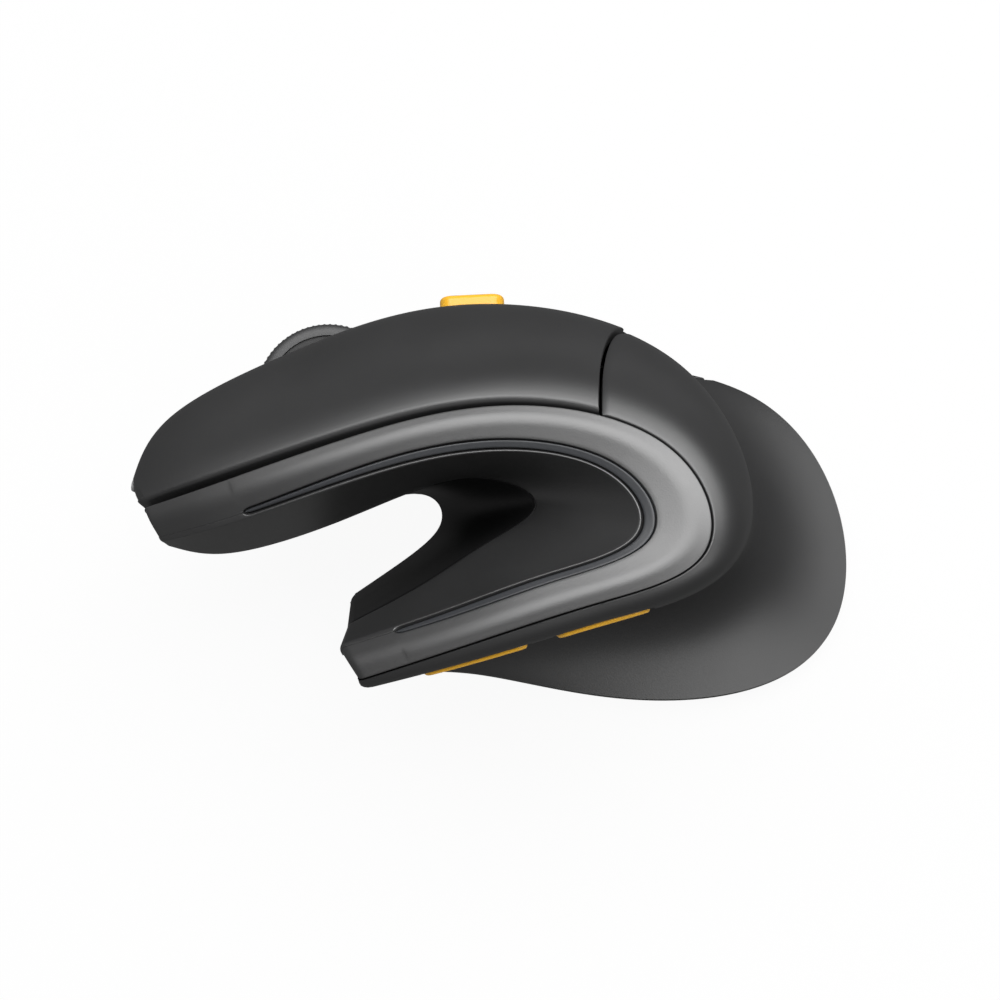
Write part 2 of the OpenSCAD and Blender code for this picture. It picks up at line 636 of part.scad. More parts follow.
// Base plate under the flange and both prongs
function plan_side(p, u, side) =
    let (t = unit(plan(p, min(u + probe, thumb_tip)) - plan(p, max(u - probe, 0))))
    plan(p, u) + side * base_inset * [t.y, -t.x];
module base_outline() {
    rim_us = stops([keel_at, thumb_tip], [44]);
    foot_us = stops([thumb_tip, keel_at], [26]);
    polygon(concat([for (u = rim_us) plan_side(rim_plan, u, 1)],
        [for (u = foot_us) plan_side(foot_plan, u, -1)]));
}
module base_plate() {
    color(shell_grey) difference() {
        union() {
            translate([0, 0, base_low]) linear_extrude(base_t) base_outline();
            for (p = standoff_at) translate([p.x, p.y, base_top])
                cylinder(d = standoff_d, h = standoff_h);
            for (y = rib_y) translate([usb_at.x + rib_gap, usb_at.y + y, base_top])
                cube([rib_t, rib_t, rib_h]);
        }
        translate([window_at.x, window_at.y, 0]) cylinder(d = window_d, h = base_top + 1);
        translate([power_at.x, power_at.y, 0]) power_slot(small_gap, base_top + 1);
        for (p = standoff_at) translate([p.x, p.y, base_top + 0.4])
            cylinder(d = screw_d + 2 * run_clear, h = standoff_h);
        for (p = case_at) translate([p.x, p.y, 0]) {
            cylinder(d = screw_d + 0.4, h = base_top + 1);
            cylinder(d = head_d + 0.4, h = base_low + head_h);
        }
    }
}
// Places on the base plate
window_at = place(1, -14);
power_at = place(4, -31);
main_at = place(2, -23.5);
standoff_dx = main_w / 2 - 3.2;
standoff_dy = main_l / 2 - 3.2;
standoff_at = [for (x = [-1, 1]) for (y = [-1, 1])
    main_at + [x * standoff_dx, y * standoff_dy, 0]];
chassis_screw_at = [for (x = [plate_rear + 9, plate_rear + 25]) chassis_line(x) + [5.6, 0, 0]];
case_at = concat(palm_boss_at, chassis_screw_at);
case_screw_l = 6;
rib_t = 1.4;
rib_h = 6;
rib_gap = 0.05;
rib_y = [-5.4, -2.2];
module screw(l, head = head_h) {
    cylinder(d = head_d, h = head);
    mirror([0, 0, 1]) cylinder(d = screw_d, h = l);
}
module case_screws() {
    color(steel) for (p = case_at) translate([p.x, p.y, base_low + head_h])
        mirror([0, 0, 1]) screw(case_screw_l);
}
module board_screws() {
    color(steel) for (p = standoff_at) translate([p.x, p.y, base_top + standoff_h + board_t])
        screw(standoff_h - 0.6 + board_t);
}
// Low-friction feet under both prongs and the flange
module glide_feet() {
    color(ivory) union() {
        translate(place(27.1, 4.2)) stadium_pad(10, 7, 95);
        translate(place(-4.5, 24)) stadium_pad(9, 5, 100);
        translate(place(-2, -49)) stadium_pad(24, 8, 0);
        translate(place(-26, -27)) stadium_pad(16, 7, 120);
    }
}
module stadium_pad(l, w, turn) {
    rotate([0, 0, turn]) stadium(l, w, glide_t);
}
// Power slider: a tongue over the plate with a knob through the slot
module power_slot(gap, h) {
    translate([-knob_w / 2 - gap, -(knob_l + power_travel) / 2 - gap, 0])
        cube([knob_w + 2 * gap, knob_l + power_travel + 2 * gap, h]);
}
tongue_t = 1;
tongue_gap = 0.3;
module power_slider() {
    color(ivory) translate([power_at.x, power_at.y - power_travel / 2, 0]) union() {
        translate([-knob_w / 2, -knob_l / 2, base_low - 0.2])
            cube([knob_w, knob_l, base_t + 0.2 + tongue_gap + tongue_t]);
        translate([-knob_w, -knob_l / 2, base_top + tongue_gap])
            cube([2 * knob_w, knob_l, tongue_t]);
    }
}
board_low = base_top + standoff_h;
power_body = 2.4;
module power_switch() {
    color(steel) translate([power_at.x, power_at.y, board_low - power_body])
        translate([-knob_w, -knob_l - 1, 0]) cube([2 * knob_w, 2 * knob_l + 2, power_body]);
}
module main_board() {
    color(board_green) difference() {
        translate([main_at.x, main_at.y, board_low]) translate([-main_w / 2, -main_l / 2, 0])
            cube([main_w, main_l, board_t]);
        for (p = standoff_at) translate([p.x, p.y, board_low - 1])
            cylinder(d = screw_d + 0.3, h = board_t + 2);
    }
}
sensor_h = 1.6;
lens_gap = 0.2;
module motion_sensor() {
    color(gloss_black) translate([window_at.x, window_at.y, board_low - sensor_h])
        translate([-5, -5.5, 0]) cube([10, 11, sensor_h]);
}
// Clear lens: a disc in the window with a collar that lies on the plate
module sensor_lens() {
    color([0.8, 0.85, 0.9]) translate([window_at.x, window_at.y, 0]) union() {
        translate([0, 0, base_low + 0.4])
            cylinder(d = window_d - 2 * run_clear, h = base_t - 0.4);
        translate([0, 0, base_top])
            cylinder(d = window_d + 2, h = standoff_h - sensor_h - lens_gap);
    }
}

// Battery on a tray whose legs stand beside the main board
tray_t = 1.4;
leg_d = 3.6;
tray_low = board_low + board_t + tray_gap;
leg_dx = main_w / 2 + leg_d / 2 + 0.6;
leg_dy = 6.5;
tray_side = 1.2;
tray_play = 0.3;
tray_w = cell_w + 2 * (tray_play + tray_side);
module battery_tray() {
    color(shell_grey) translate(main_at) union() {
        translate([-tray_w / 2, -cell_l / 2 - 1, tray_low]) cube([tray_w, cell_l + 2, tray_t]);
        for (y = [-1, 1]) translate([-leg_dx, y * leg_dy - leg_d / 2, tray_low])
            cube([2 * leg_dx, leg_d, tray_t]);
        for (x = [-1, 1]) for (y = [-1, 1])
            translate([x * leg_dx, y * leg_dy, base_top])
                cylinder(d = leg_d, h = tray_low - base_top + tray_t);
        for (x = [-1, 1]) translate([(x * (tray_w - tray_side) - tray_side) / 2, -cell_l / 2, tray_low])
            cube([tray_side, cell_l, tray_t + cell_t / 2]);
    }
}
module battery_cell() {
    color(steel) translate(main_at) translate([-cell_w / 2, -cell_l / 2, tray_low + tray_t])
        cube([cell_w, cell_l, cell_t]);
}

// Charging socket on its upright board behind the front of the thumb arm
usb_low = base_top + 1.6;
usb_share = (usb_low + usb_w - base_top) / (skin(thumb_tip, crease).z - base_top);
usb_mid = (mix(foot(cap_at).x, skin(cap_at, crease).x, usb_share) + skin(cap_at, 3).x) / 2;
usb_at = [usb_mid - usb_h / 2, thumb_front - usb_l - 0.2, usb_low];
charge_l = 13;
charge_h = 13;
module charge_board() {
    color(board_green) translate([usb_at.x - board_t, usb_at.y + usb_l - charge_l - cap_t - 0.6, base_top])
        cube([board_t, charge_l, charge_h]);
}
module usb_socket() {
    color(steel) translate(usb_at) difference() {
        cube([usb_h, usb_l, usb_w]);
        translate([0.35, 1.2, 0.35]) cube([usb_h - 0.7, usb_l, usb_w - 0.7]);
    }
}

// Finger chassis: a leaning plate that stands on the base and carries wheel and switches
// Block on the chassis plate up to a given depth
module tower(at, l, w, top) {
    translate([at.x - l / 2, at.y - w / 2, -plate_deep - 0.5]) cube([l, w, plate_deep + 0.5 - top]);
}
module finger_chassis() {
    color([0.3, 0.3, 0.32]) difference() {
        union() {
            intersection() {
                in_frame(finger_frame) chassis_plate();
                translate([-far, -far, base_top]) cube([2 * far, 2 * far, far]);
            }
            chassis_foot();
        }
        in_frame(finger_frame) translate([pivot_x, 0, -pivot_deep]) rotate([90, 0, 0])
            cylinder(d = trunnion_d + 2 * run_clear, h = far, center = true);
        for (p = chassis_screw_at) boss_bore(p);
        bay_room();
    }
}
// Room that the chassis leaves for the bay wall and the scoop
bay_room_to = 3.9;
module bay_room() {
    us = stops([0, bay_room_to], [13]);
    cover([for (u = us) [for (v = [bay_edge, crease, lip]) [u, v]]], 1, wall + seam);
}
module chassis_plate() {
    translate([plate_rear, plate_low, -plate_deep - plate_t])
        cube([plate_front - plate_rear, plate_high - plate_low, plate_t]);
    translate([plate_rear + 4, -far, -plate_deep - plate_t])
        cube([26, far + plate_low + 1, plate_t]);
    translate([right_local.x - switch_l / 2, arm_low, -plate_deep - plate_t])
        cube([switch_l, plate_low + 1 - arm_low, plate_t]);
    tower(left_local, switch_l, switch_w, left_top + plunger_h + switch_h);
    tower(right_local, switch_l, switch_w, right_top + plunger_h + switch_h);
    tower(speed_local, tact_side, tact_side, speed_top + tact_top);
    for (s = [-1, 1]) translate([pivot_x - 3, s * (cheek_out + ear_gap + ear_t / 2) - ear_t / 2,
        -plate_deep - 0.5]) cube([6, ear_t, plate_deep - pivot_deep + 3.5]);
}
// Foot of the chassis, screwed down through the base plate
module chassis_foot() {
    a = chassis_line(plate_rear + 5);
    b = chassis_line(plate_rear + 29);
    translate([0, 0, base_top]) linear_extrude(foot_plate_t)
        polygon([[a.x, a.y], [a.x + foot_plate_w, a.y], [b.x + foot_plate_w, b.y], [b.x, b.y]]);
    for (q = chassis_screw_at) translate(q) cylinder(d = boss_d, h = chassis_boss_h);
}
module micro_switch(at, top) {
    color(gloss_black) translate([at.x, at.y, -top]) union() {
        translate([-switch_l / 2, -switch_w / 2, -plunger_h - switch_h])
            cube([switch_l, switch_w, switch_h]);
        translate([-1.6, -1.3, -plunger_h]) cube([3.2, 2.6, plunger_h]);
    }
}
module left_switch() {
    in_frame(finger_frame) micro_switch(left_local, left_top);
}
module right_switch() {
    in_frame(finger_frame) micro_switch(right_local, right_top);
}
module speed_switch() {
    in_frame(finger_frame) tact_switch([speed_local.x, speed_local.y, -speed_top - tact_top]);
}
board_clear = 0.8;
board_from = plate_rear + 5;
finger_board_l = right_local.x - switch_l / 2 - board_clear - board_from;
finger_board_w = 13;
finger_board_low = (base_top + chassis_boss_h + board_clear - finger_frame[0].z
    + plate_deep * finger_frame[3].z - (board_from + finger_board_l) * finger_frame[1].z)
    / finger_frame[2].z;
module finger_board() {
    color(board_green) in_frame(finger_frame)
        translate([board_from, finger_board_low, -plate_deep])
            cube([finger_board_l, finger_board_w, board_t]);
}
// Wheel switch lies on the chassis plate under the tail of the cradle
wheel_switch_x = -17;
tail_low = plate_deep - tact_top - press_gap;
module wheel_switch() {
    in_frame(finger_frame) tact_switch([wheel_switch_x, 0, -plate_deep]);
}
// Cradle: cheeks, floor and tail in one piece, rocking on two trunnions
module wheel_cradle() {
    color([0.2, 0.2, 0.22]) in_frame(finger_frame) difference() {
        union() {
            translate([-8, -cheek_out, -cradle_floor - cradle_t])
                cube([8 + pivot_x + 2.5, 2 * cheek_out, cradle_t]);
            for (s = [-1, 1]) translate([-5, s * (cheek_out - cheek_t / 2) - cheek_t / 2,
                -cradle_floor - 0.5]) cube([10, cheek_t, cradle_floor + 0.5 - axle_deep + 3]);
            for (s = [-1, 1]) translate([pivot_x - 2.5, s * (cheek_out - cheek_t / 2) - cheek_t / 2,
                -cradle_floor - 0.5]) cube([5, cheek_t, 4]);
            translate([pivot_x, 0, -pivot_deep]) rotate([90, 0, 0])
                cylinder(d = trunnion_d, h = 2 * (cheek_out + ear_gap + ear_t), center = true);
            translate([wheel_switch_x - 3, -3, -tail_low]) cube([-8.6 - wheel_switch_x + 3, 6, cradle_t]);
            for (s = [-1, 1]) translate([-9.6, s * 2.2 - 0.8, -cradle_floor - cradle_t])
                cube([2, 1.6, cradle_floor + cradle_t - tail_low + cradle_t]);
        }
        translate([0, 0, -axle_deep]) rotate([90, 0, 0])
            cylinder(d = axle_d + 2 * run_clear, h = far, center = true);
    }
}
axle_l = 2 * cheek_out + encoder_w;
module wheel_axle() {
    color(steel) in_frame(finger_frame) translate([0, 0, -axle_deep]) rotate([90, 0, 0])
        translate([0, 0, -cheek_out - 0.5]) cylinder(d = axle_d, h = axle_l);
}
module wheel_hub() {
    color([0.3, 0.3, 0.3]) in_frame(finger_frame) translate([0, 0, -axle_deep])
        rotate([90, 0, 0]) difference() {
            rotate_extrude() polygon([[axle_d / 2 + hub_fit, -wheel_w / 2],
                [axle_d / 2 + 2, -wheel_w / 2], [axle_d / 2 + 2.4, -1.2], [hub_r - 1.2, -1.2],
                [hub_r - 1, -wheel_w / 2 + 0.4], [hub_r, -wheel_w / 2 + 0.4],
                [hub_r, wheel_w / 2 - 0.4], [hub_r - 1, wheel_w / 2 - 0.4], [hub_r - 1.2, 1.2],
                [axle_d / 2 + 2.4, 1.2], [axle_d / 2 + 2, wheel_w / 2],
                [axle_d / 2 + hub_fit, wheel_w / 2]]);
        }
}
hub_fit = 0.02;
hub_r = wheel_d / 2 - tyre_t - hub_fit;
// Tyre: a crowned rubber ring cut by cross grooves
module wheel_tyre() {
    r = wheel_d / 2;
    in_r = r - tyre_t;
    pitch = 360 / rib_count;
    rib_w = PI * wheel_d / rib_count * 0.45;
    crown = concat([for (k = [-4 : 4]) let (z = k / 4)
        [r - tyre_crown * z ^ 2, z * wheel_w / 2]], [[in_r, wheel_w / 2], [in_r, -wheel_w / 2]]);
    color(gloss_black) in_frame(finger_frame) translate([0, 0, -axle_deep]) rotate([90, 0, 0])
        difference() {
            rotate_extrude() polygon(crown);
            for (i = [0 : rib_count - 1]) rotate([0, 0, i * pitch])
                translate([r - rib_d, -rib_w / 2, -wheel_w]) cube([2, rib_w, 2 * wheel_w]);
        }
}
// Encoder on the cradle cheek, turned by the axle end
module wheel_encoder() {
    color(ivory) in_frame(finger_frame) difference() {
        translate([-encoder_l / 2, -cheek_out - encoder_w, -axle_deep + encoder_rise - encoder_h])
            cube([encoder_l, encoder_w, encoder_h]);
        translate([0, 0, -axle_deep]) rotate([90, 0, 0])
            cylinder(d = axle_d + 2 * run_clear, h = far, center = true);
    }
}

base_plate();
palm_shell();
finger_skirt();
ridge_cover();
bay_liner();
beak_floor();
nose_cap();
thumb_cap();
inlay_strip();
centre_strip();
left_button();
right_button();
speed_button();
forward_button();
back_button();
wheel_tyre();
wheel_hub();
wheel_axle();
wheel_cradle();
wheel_encoder();
finger_chassis();
finger_board();
left_switch();
right_switch();
wheel_switch();
speed_switch();
thumb_board();
forward_switch();
back_switch();
main_board();
battery_tray();
battery_cell();
motion_sensor();
sensor_lens();
power_slider();
power_switch();
charge_board();
usb_socket();
glide_feet();
case_screws();
board_screws();
thumb_screws();
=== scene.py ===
"""Looks of a right-handed vertical mouse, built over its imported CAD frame."""
import logging
import math
from dataclasses import dataclass, field
from enum import Enum
from typing import Any, Callable, ClassVar, Sequence

import bpy
import numpy as np
from mathutils import Matrix, Vector


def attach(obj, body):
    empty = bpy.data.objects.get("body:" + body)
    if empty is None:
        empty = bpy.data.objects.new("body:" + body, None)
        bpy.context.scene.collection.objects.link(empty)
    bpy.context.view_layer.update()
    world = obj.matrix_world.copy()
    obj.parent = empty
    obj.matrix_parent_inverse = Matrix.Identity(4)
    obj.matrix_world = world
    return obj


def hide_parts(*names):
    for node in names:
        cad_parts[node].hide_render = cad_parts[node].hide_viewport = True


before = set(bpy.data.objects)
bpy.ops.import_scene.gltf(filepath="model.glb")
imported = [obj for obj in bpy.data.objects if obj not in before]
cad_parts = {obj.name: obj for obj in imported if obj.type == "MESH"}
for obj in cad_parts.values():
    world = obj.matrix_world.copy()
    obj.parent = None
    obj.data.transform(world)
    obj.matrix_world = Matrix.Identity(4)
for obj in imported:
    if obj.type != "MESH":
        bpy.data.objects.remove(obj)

LOG = logging.getLogger("mouse")
MM = 0.001
TINY = 1e-6
QUARTER = math.pi / 2
# Angles in degrees above which an edge stays sharp.
SHARP, SMALL_SHARP, BAND_SHARP = 32.0, 40.0, 42.0
Array = np.ndarray
Triple = tuple[float, float, float]
Colour = Triple
Edge = Callable[[Array], Array]
Pair = tuple[float, float]
Four = tuple[float, float, float, float]
Rolls = Four
Steps = tuple[int, int]


class Edges(float, Enum):
    """Hard edges of the skin, as places across it."""

    BAY = -3.0
    CREASE = -2.0
    LIP = -1.0
    RIDGE = 0.0
    RIM = 4.0


class Body(Enum):
    """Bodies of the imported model."""

    HOUSING = "housing"
    LEFT = "left_key"
    RIGHT = "right_key"
    SPEED = "speed_key"
    FORWARD = "forward_key"
    BACK = "back_key"
    WHEEL = "wheel"


@dataclass(frozen=True)
class Rails:
    """Control points of the housing, in millimetres, from the finger nose round to the thumb tip."""

    middle: Pair = (1.6, 0.44)
    base_top: float = 3.0
    nose_height: float = 33.0
    keel_at: float = 2.4
    keel_power: float = 1.4
    rim_lip: float = 1.2
    band_crown: float = 0.8
    foot: tuple = ((11, 56.5), (14, 47), (17, 32), (18, 15), (14.5, 10), (9.5, 10.5), (6.5, 15.5),
                   (4, 22.5), (1, 31.5))
    crease: tuple = ((9, 57.5, 37), (4.5, 50, 33.5), (5, 29, 34), (7, 10, 38), (-0.5, 0.5, 48),
                     (-7, -3.5, 49), (-9, 8.5, 48), (-12, 18.5, 45), (-14, 33, 42))
    lip: tuple = ((8, 58, 42), (4.5, 45, 50.5), (3.7, 26, 57.5), (2, 6, 62.5), (-7, -13, 65),
                  (-21.5, -16, 64.5), (-19.5, 2, 60.5), (-19.5, 17, 55), (-18, 35, 47))
    ridge: tuple = ((13.5, 59, 45), (11.5, 46, 52), (10.5, 26, 59), (8.5, 0, 65), (-6.5, -25, 67.5),
                    (-29, -25, 66.5), (-27, -4, 63), (-26.5, 16, 57), (-25, 33.5, 49))
    shoulder: tuple = ((19.5, 60.5, 39), (32, 56, 42), (35.5, 29, 46), (38.5, 0, 51), (14, -38, 55),
                       (-31, -35, 63), (-31.5, -4, 60), (-30, 16, 53), (-27, 33, 46))
    waist: tuple = ((21, 59.5, 37), (34, 52, 27), (38, 30, 24), (38, 0, 24), (22, -40, 26),
                    (-27, -40, 32), (-15, -4, 30), (-14, 14, 26), (-13, 32.5, 24))
    flare: tuple = ((19, 58, 35), (31, 49, 20), (36, 32, 10), (37, 2, 8), (26, -46, 10),
                    (-26, -46, 11), (-18, -8, 9), (-14, 14, 9), (-13, 32.5, 9))
    rim: tuple = ((17, 57.5), (27, 47), (34, 32), (38, 4), (23, -66), (-40.5, -58), (-35.5, -13),
                  (-17, 14), (-14, 33))


class Skin:
    """The lofted surface that every cover follows: u runs along the horseshoe, v across it."""

    TIP = 8.0
    PROBE = 0.02
    REACH = 0.07

    def __init__(self, rails: Rails) -> None:
        """Keep the rails as arrays, shifted so that the origin lies under the middle of the mouse."""
        self.rails = rails
        shift = np.array([*rails.middle, 0.0])
        names = ("crease", "lip", "ridge", "shoulder", "waist", "flare")
        self.rail = {name: np.array(getattr(rails, name), float) - shift for name in names}
        self.plan = {name: np.array(getattr(rails, name), float) - shift[:2] for name in ("foot", "rim")}

    @staticmethod
    def weights(f: Array) -> tuple[Array, Array, Array, Array]:
        """Weights of four neighbouring control points of a uniform cubic spline."""
        return ((1 - f) ** 3 / 6, (3 * f ** 3 - 6 * f ** 2 + 4) / 6,
                (3 * f + 3 * f ** 2 - 3 * f ** 3 + 1) / 6, f ** 3 / 6)

    @classmethod
    def spline(cls, points: Array, t: Array) -> Array:
        """Follow a uniform cubic spline that starts and ends on its end points.

        Args:
            points: Control points, one a row.
            t: Stations, counted in control points.

        Returns:
            The points of the curve, in the shape of t with one axis more.
        """
        reach = np.concatenate([2 * points[:1] - points[1:2], points, 2 * points[-1:] - points[-2:-1]])
        k = np.clip(np.floor(t).astype(int), 0, len(points) - 2)
        parts = cls.weights((t - k)[..., None])
        return sum(w * reach[k + n] for n, w in enumerate(parts))

    def keel(self, u: Array) -> Array:
        """Height of the underside at stations u."""
        r = self.rails
        rise = np.maximum(0.0, (r.keel_at - u) / r.keel_at) ** r.keel_power
        return r.base_top + (r.nose_height - r.base_top) * rise

    def ground(self, name: str, u: Array, lift: float) -> Array:
        """Point of a plan curve at stations u, a given height above the underside."""
        return np.concatenate([self.spline(self.plan[name], u), (self.keel(u) + lift)[..., None]], -1)

    def line(self, name: str, u: Array) -> Array:
        """Point of a rail at stations u."""
        return self.spline(self.rail[name], u)

    def point(self, u: Any, v: Any) -> Array:
        """Find points of the outer surface.

        Args:
            u: Stations along the horseshoe, 0 at the finger nose and 8 at the thumb tip.
            v: Places across it, from -3 at the bay edge to 4 at the flange edge.

        Returns:
            Points in millimetres.
        """
        u, v = np.broadcast_arrays(np.asarray(u, float), np.asarray(v, float))
        rows = [self.line(n, u) for n in ("ridge", "shoulder", "waist", "flare")]
        rows.append(self.ground("rim", u, self.rails.rim_lip))
        rows = [2 * rows[0] - rows[1], *rows, 2 * rows[4] - rows[3]]
        stack = np.stack(rows)
        k = np.clip(np.floor(v).astype(int), 0, 3)
        parts = self.weights((v - k)[..., None])
        outer = sum(w * np.take_along_axis(stack, (k + n)[None, ..., None], 0)[0]
                    for n, w in enumerate(parts))
        lip, crease = self.line("lip", u), self.line("crease", u)
        foot = self.ground("foot", u, 0.0)
        t = (v - Edges.LIP)[..., None]
        band = lip + (rows[1] - lip) * t
        band[..., 2] += 4 * self.rails.band_crown * (t * (1 - t))[..., 0]
        scoop = crease + (lip - crease) * (v - Edges.CREASE)[..., None]
        wall = foot + (crease - foot) * (v - Edges.BAY)[..., None]
        w = v[..., None]
        inner = np.where(w >= Edges.CREASE, scoop, wall)
        return np.where(w >= Edges.RIDGE, outer, np.where(w >= Edges.LIP, band, inner))

    def along(self, u: Array, v: Array) -> Array:
        """Direction of growing u, not of unit length."""
        return (self.point(np.minimum(u + self.PROBE, self.TIP), v)
                - self.point(np.maximum(u - self.PROBE, 0.0), v))

    def across(self, u: Array, v: Array) -> Array:
        """Direction of growing v, not of unit length."""
        return (self.point(u, np.minimum(v + self.PROBE, Edges.RIM))
                - self.point(u, np.maximum(v - self.PROBE, Edges.BAY)))

    def facing(self, u: Any, v: Any) -> Array:
        """Outward unit direction, shared by both neighbours close to a hard edge."""
        u, v = np.broadcast_arrays(np.asarray(u, float), np.asarray(v, float))
        near = (v < 0.5) & (v > -2.5) & (np.abs(v - np.round(v)) < self.REACH)
        w = np.where(near, np.round(v), v)
        return unit(np.cross(self.along(u, w), self.across(u, w)))

    def u_step(self, u: Any, v: Any, d: Any) -> Array:
        """Step of u that covers d millimetres."""
        u, v = np.asarray(u, float), np.asarray(v, float)
        return d * 2 * self.PROBE / np.linalg.norm(self.along(u, v), axis=-1)

    def v_step(self, u: Any, v: Any, d: Any) -> Array:
        """Step of v that covers d millimetres."""
        u, v = np.broadcast_arrays(np.asarray(u, float), np.asarray(v, float))
        return d * self.PROBE / np.linalg.norm(self.point(u, v + self.PROBE) - self.point(u, v), axis=-1)

    def inside(self, u: Array, v: Array, depth: float) -> Array:
        """Inner face of a cover, kept above the underside and square at the flange edge."""
        p = self.point(u, v) - depth * self.facing(u, v)
        low = self.keel(u)
        p[..., 2] = np.maximum(p[..., 2], low)
        at_bay = v <= Edges.BAY + TINY
        p[..., 2] = np.where(at_bay, low, p[..., 2])
        at_rim = (v >= Edges.RIM - TINY)[..., None]
        return np.where(at_rim, self.ground("rim", u, 0.0), p)

    def seat(self, u: float, v: float) -> Matrix:
        """Local frame on the skin.

        Args:
            u: Station of its origin.
            v: Place of its origin.

        Returns:
            A matrix in millimetres whose columns run against u, across, outward and to the origin.
        """
        u1, v1 = np.array([u]), np.array([v])
        out = self.facing(u1, v1)[0]
        ahead = -self.along(u1, v1)[0]
        ahead = unit(ahead - out * (ahead @ out))
        side = np.cross(out, ahead)
        columns = np.stack([ahead, side, out, self.point(u1, v1)[0]], 1)
        return Matrix([*columns.tolist(), [0, 0, 0, 1]])


def unit(p: Array) -> Array:
    """Scale vectors to unit length."""
    return p / np.maximum(np.linalg.norm(p, axis=-1, keepdims=True), 1e-12)


def blend(a: Any, b: Any, t: Any) -> Any:
    """Value between a and b at share t."""
    return a + (b - a) * t


def level(value: float) -> Edge:
    """An edge that keeps one place all along."""
    return lambda t: np.full_like(t, value)


def ruled(stops: Sequence[float], counts: Sequence[int]) -> Array:
    """Stops with even steps between them, of the given counts."""
    runs = [np.linspace(a, b, n + 1)[:-1] for a, b, n in zip(stops, stops[1:], counts)]
    return np.concatenate([*runs, stops[-1:]])


def roll_depth(d: Array, r: float) -> Array:
    """Depth of a quarter-round edge of radius r at distance d from the edge."""
    inward = np.clip(r - d, 0.0, r)
    return r - np.sqrt(np.maximum(r * r - inward * inward, 0.0))


def grid_solid(outer: Array, inner: Array, holes: Sequence[tuple[int, int, int, int]] = ()) -> "Solid":
    """Close the space between two point grids.

    Args:
        outer: Outer points, rows along u and columns along v.
        inner: Inner points of the same shape.
        holes: Blocks of cells left open, as first and last row, first and last column.

    Returns:
        The closed solid.
    """
    n, m = outer.shape[:2]
    size = n * m
    cell = np.ones((n + 1, m + 1), bool)
    cell[0, :] = cell[-1, :] = cell[:, 0] = cell[:, -1] = False
    for i0, i1, j0, j1 in holes:
        cell[i0 + 1:i1 + 1, j0 + 1:j1 + 1] = False
    faces: list[tuple[int, ...]] = []
    for i in range(n - 1):
        for j in range(m - 1):
            if not cell[i + 1, j + 1]:
                continue
            a = i * m + j
            b, c, d = a + 1, a + m + 1, a + m
            faces += [(a, d, c, b), (size + a, size + b, size + c, size + d)]
            sides = ((cell[i, j + 1], a, b), (cell[i + 1, j + 2], b, c),
                     (cell[i + 2, j + 1], c, d), (cell[i + 1, j], d, a))
            faces += [(p, q, size + q, size + p) for joined, p, q in sides if not joined]
    return Solid(np.concatenate([outer.reshape(-1, 3), inner.reshape(-1, 3)]), faces)


@dataclass
class Solid:
    """Points in millimetres and the faces between them."""

    points: Array
    faces: list[tuple[int, ...]]

    def moved(self, seat: Matrix) -> "Solid":
        """The same solid in a local frame."""
        m = np.array(seat)
        return Solid(self.points @ m[:3, :3].T + m[:3, 3], self.faces)

    def joined(self, other: "Solid") -> "Solid":
        """Both solids as one."""
        shift = len(self.points)
        faces = self.faces + [tuple(k + shift for k in f) for f in other.faces]
        return Solid(np.concatenate([self.points, other.points]), faces)

    def mesh(self, name: str, sharp: float) -> bpy.types.Mesh:
        """Make a smooth-shaded mesh in metres.

        Args:
            name: Name of the mesh.
            sharp: Angle in degrees above which an edge stays sharp.

        Returns:
            The mesh, without points that no face uses.
        """
        used = np.unique(np.concatenate([np.array(f) for f in self.faces]))
        index = np.full(len(self.points), -1)
        index[used] = np.arange(len(used))
        mesh = bpy.data.meshes.new(name)
        faces = [tuple(int(index[k]) for k in f) for f in self.faces]
        mesh.from_pydata((self.points[used] * MM).tolist(), [], faces)
        mesh.validate()
        mesh.shade_smooth()
        mesh.set_sharp_from_angle(angle=math.radians(sharp))
        return mesh


def sweep_profile(corners: Sequence[Array], radii: Sequence[float], bends: Sequence[int],
                  runs: Sequence[int]) -> Array:
    """Round the corners of a profile at every station at once.

    Args:
        corners: Corner points, each with a row of x, y, z and v for every station.
        radii: Rounding of the corners between the first and the last.
        bends: Steps in each rounding.
        runs: Extra points on each straight run.

    Returns:
        An array of stations by profile points by four.
    """
    most = 0.47
    size = [np.linalg.norm((b - a)[:, :3], axis=1)[:, None] for a, b in zip(corners, corners[1:])]
    curves: list[list[Array]] = [[corners[0]]]
    for k, (radius, steps) in enumerate(zip(radii, bends), start=1):
        at = corners[k]
        a, c = (at + (corners[n] - at) * np.minimum(radius, most * run) / np.maximum(run, TINY)
                for n, run in ((k - 1, size[k - 1]), (k + 1, size[k])))
        ts = np.linspace(0, 1, steps + 1)
        curves.append([(1 - t) ** 2 * a + 2 * t * (1 - t) * at + t * t * c for t in ts])
    curves.append([corners[-1]])
    out = list(curves[0])
    for before, curve, count in zip(curves, curves[1:], runs):
        out += [blend(before[-1], curve[0], n / (count + 1)) for n in range(1, count + 1)]
        out += curve
    return np.stack(out, 1)


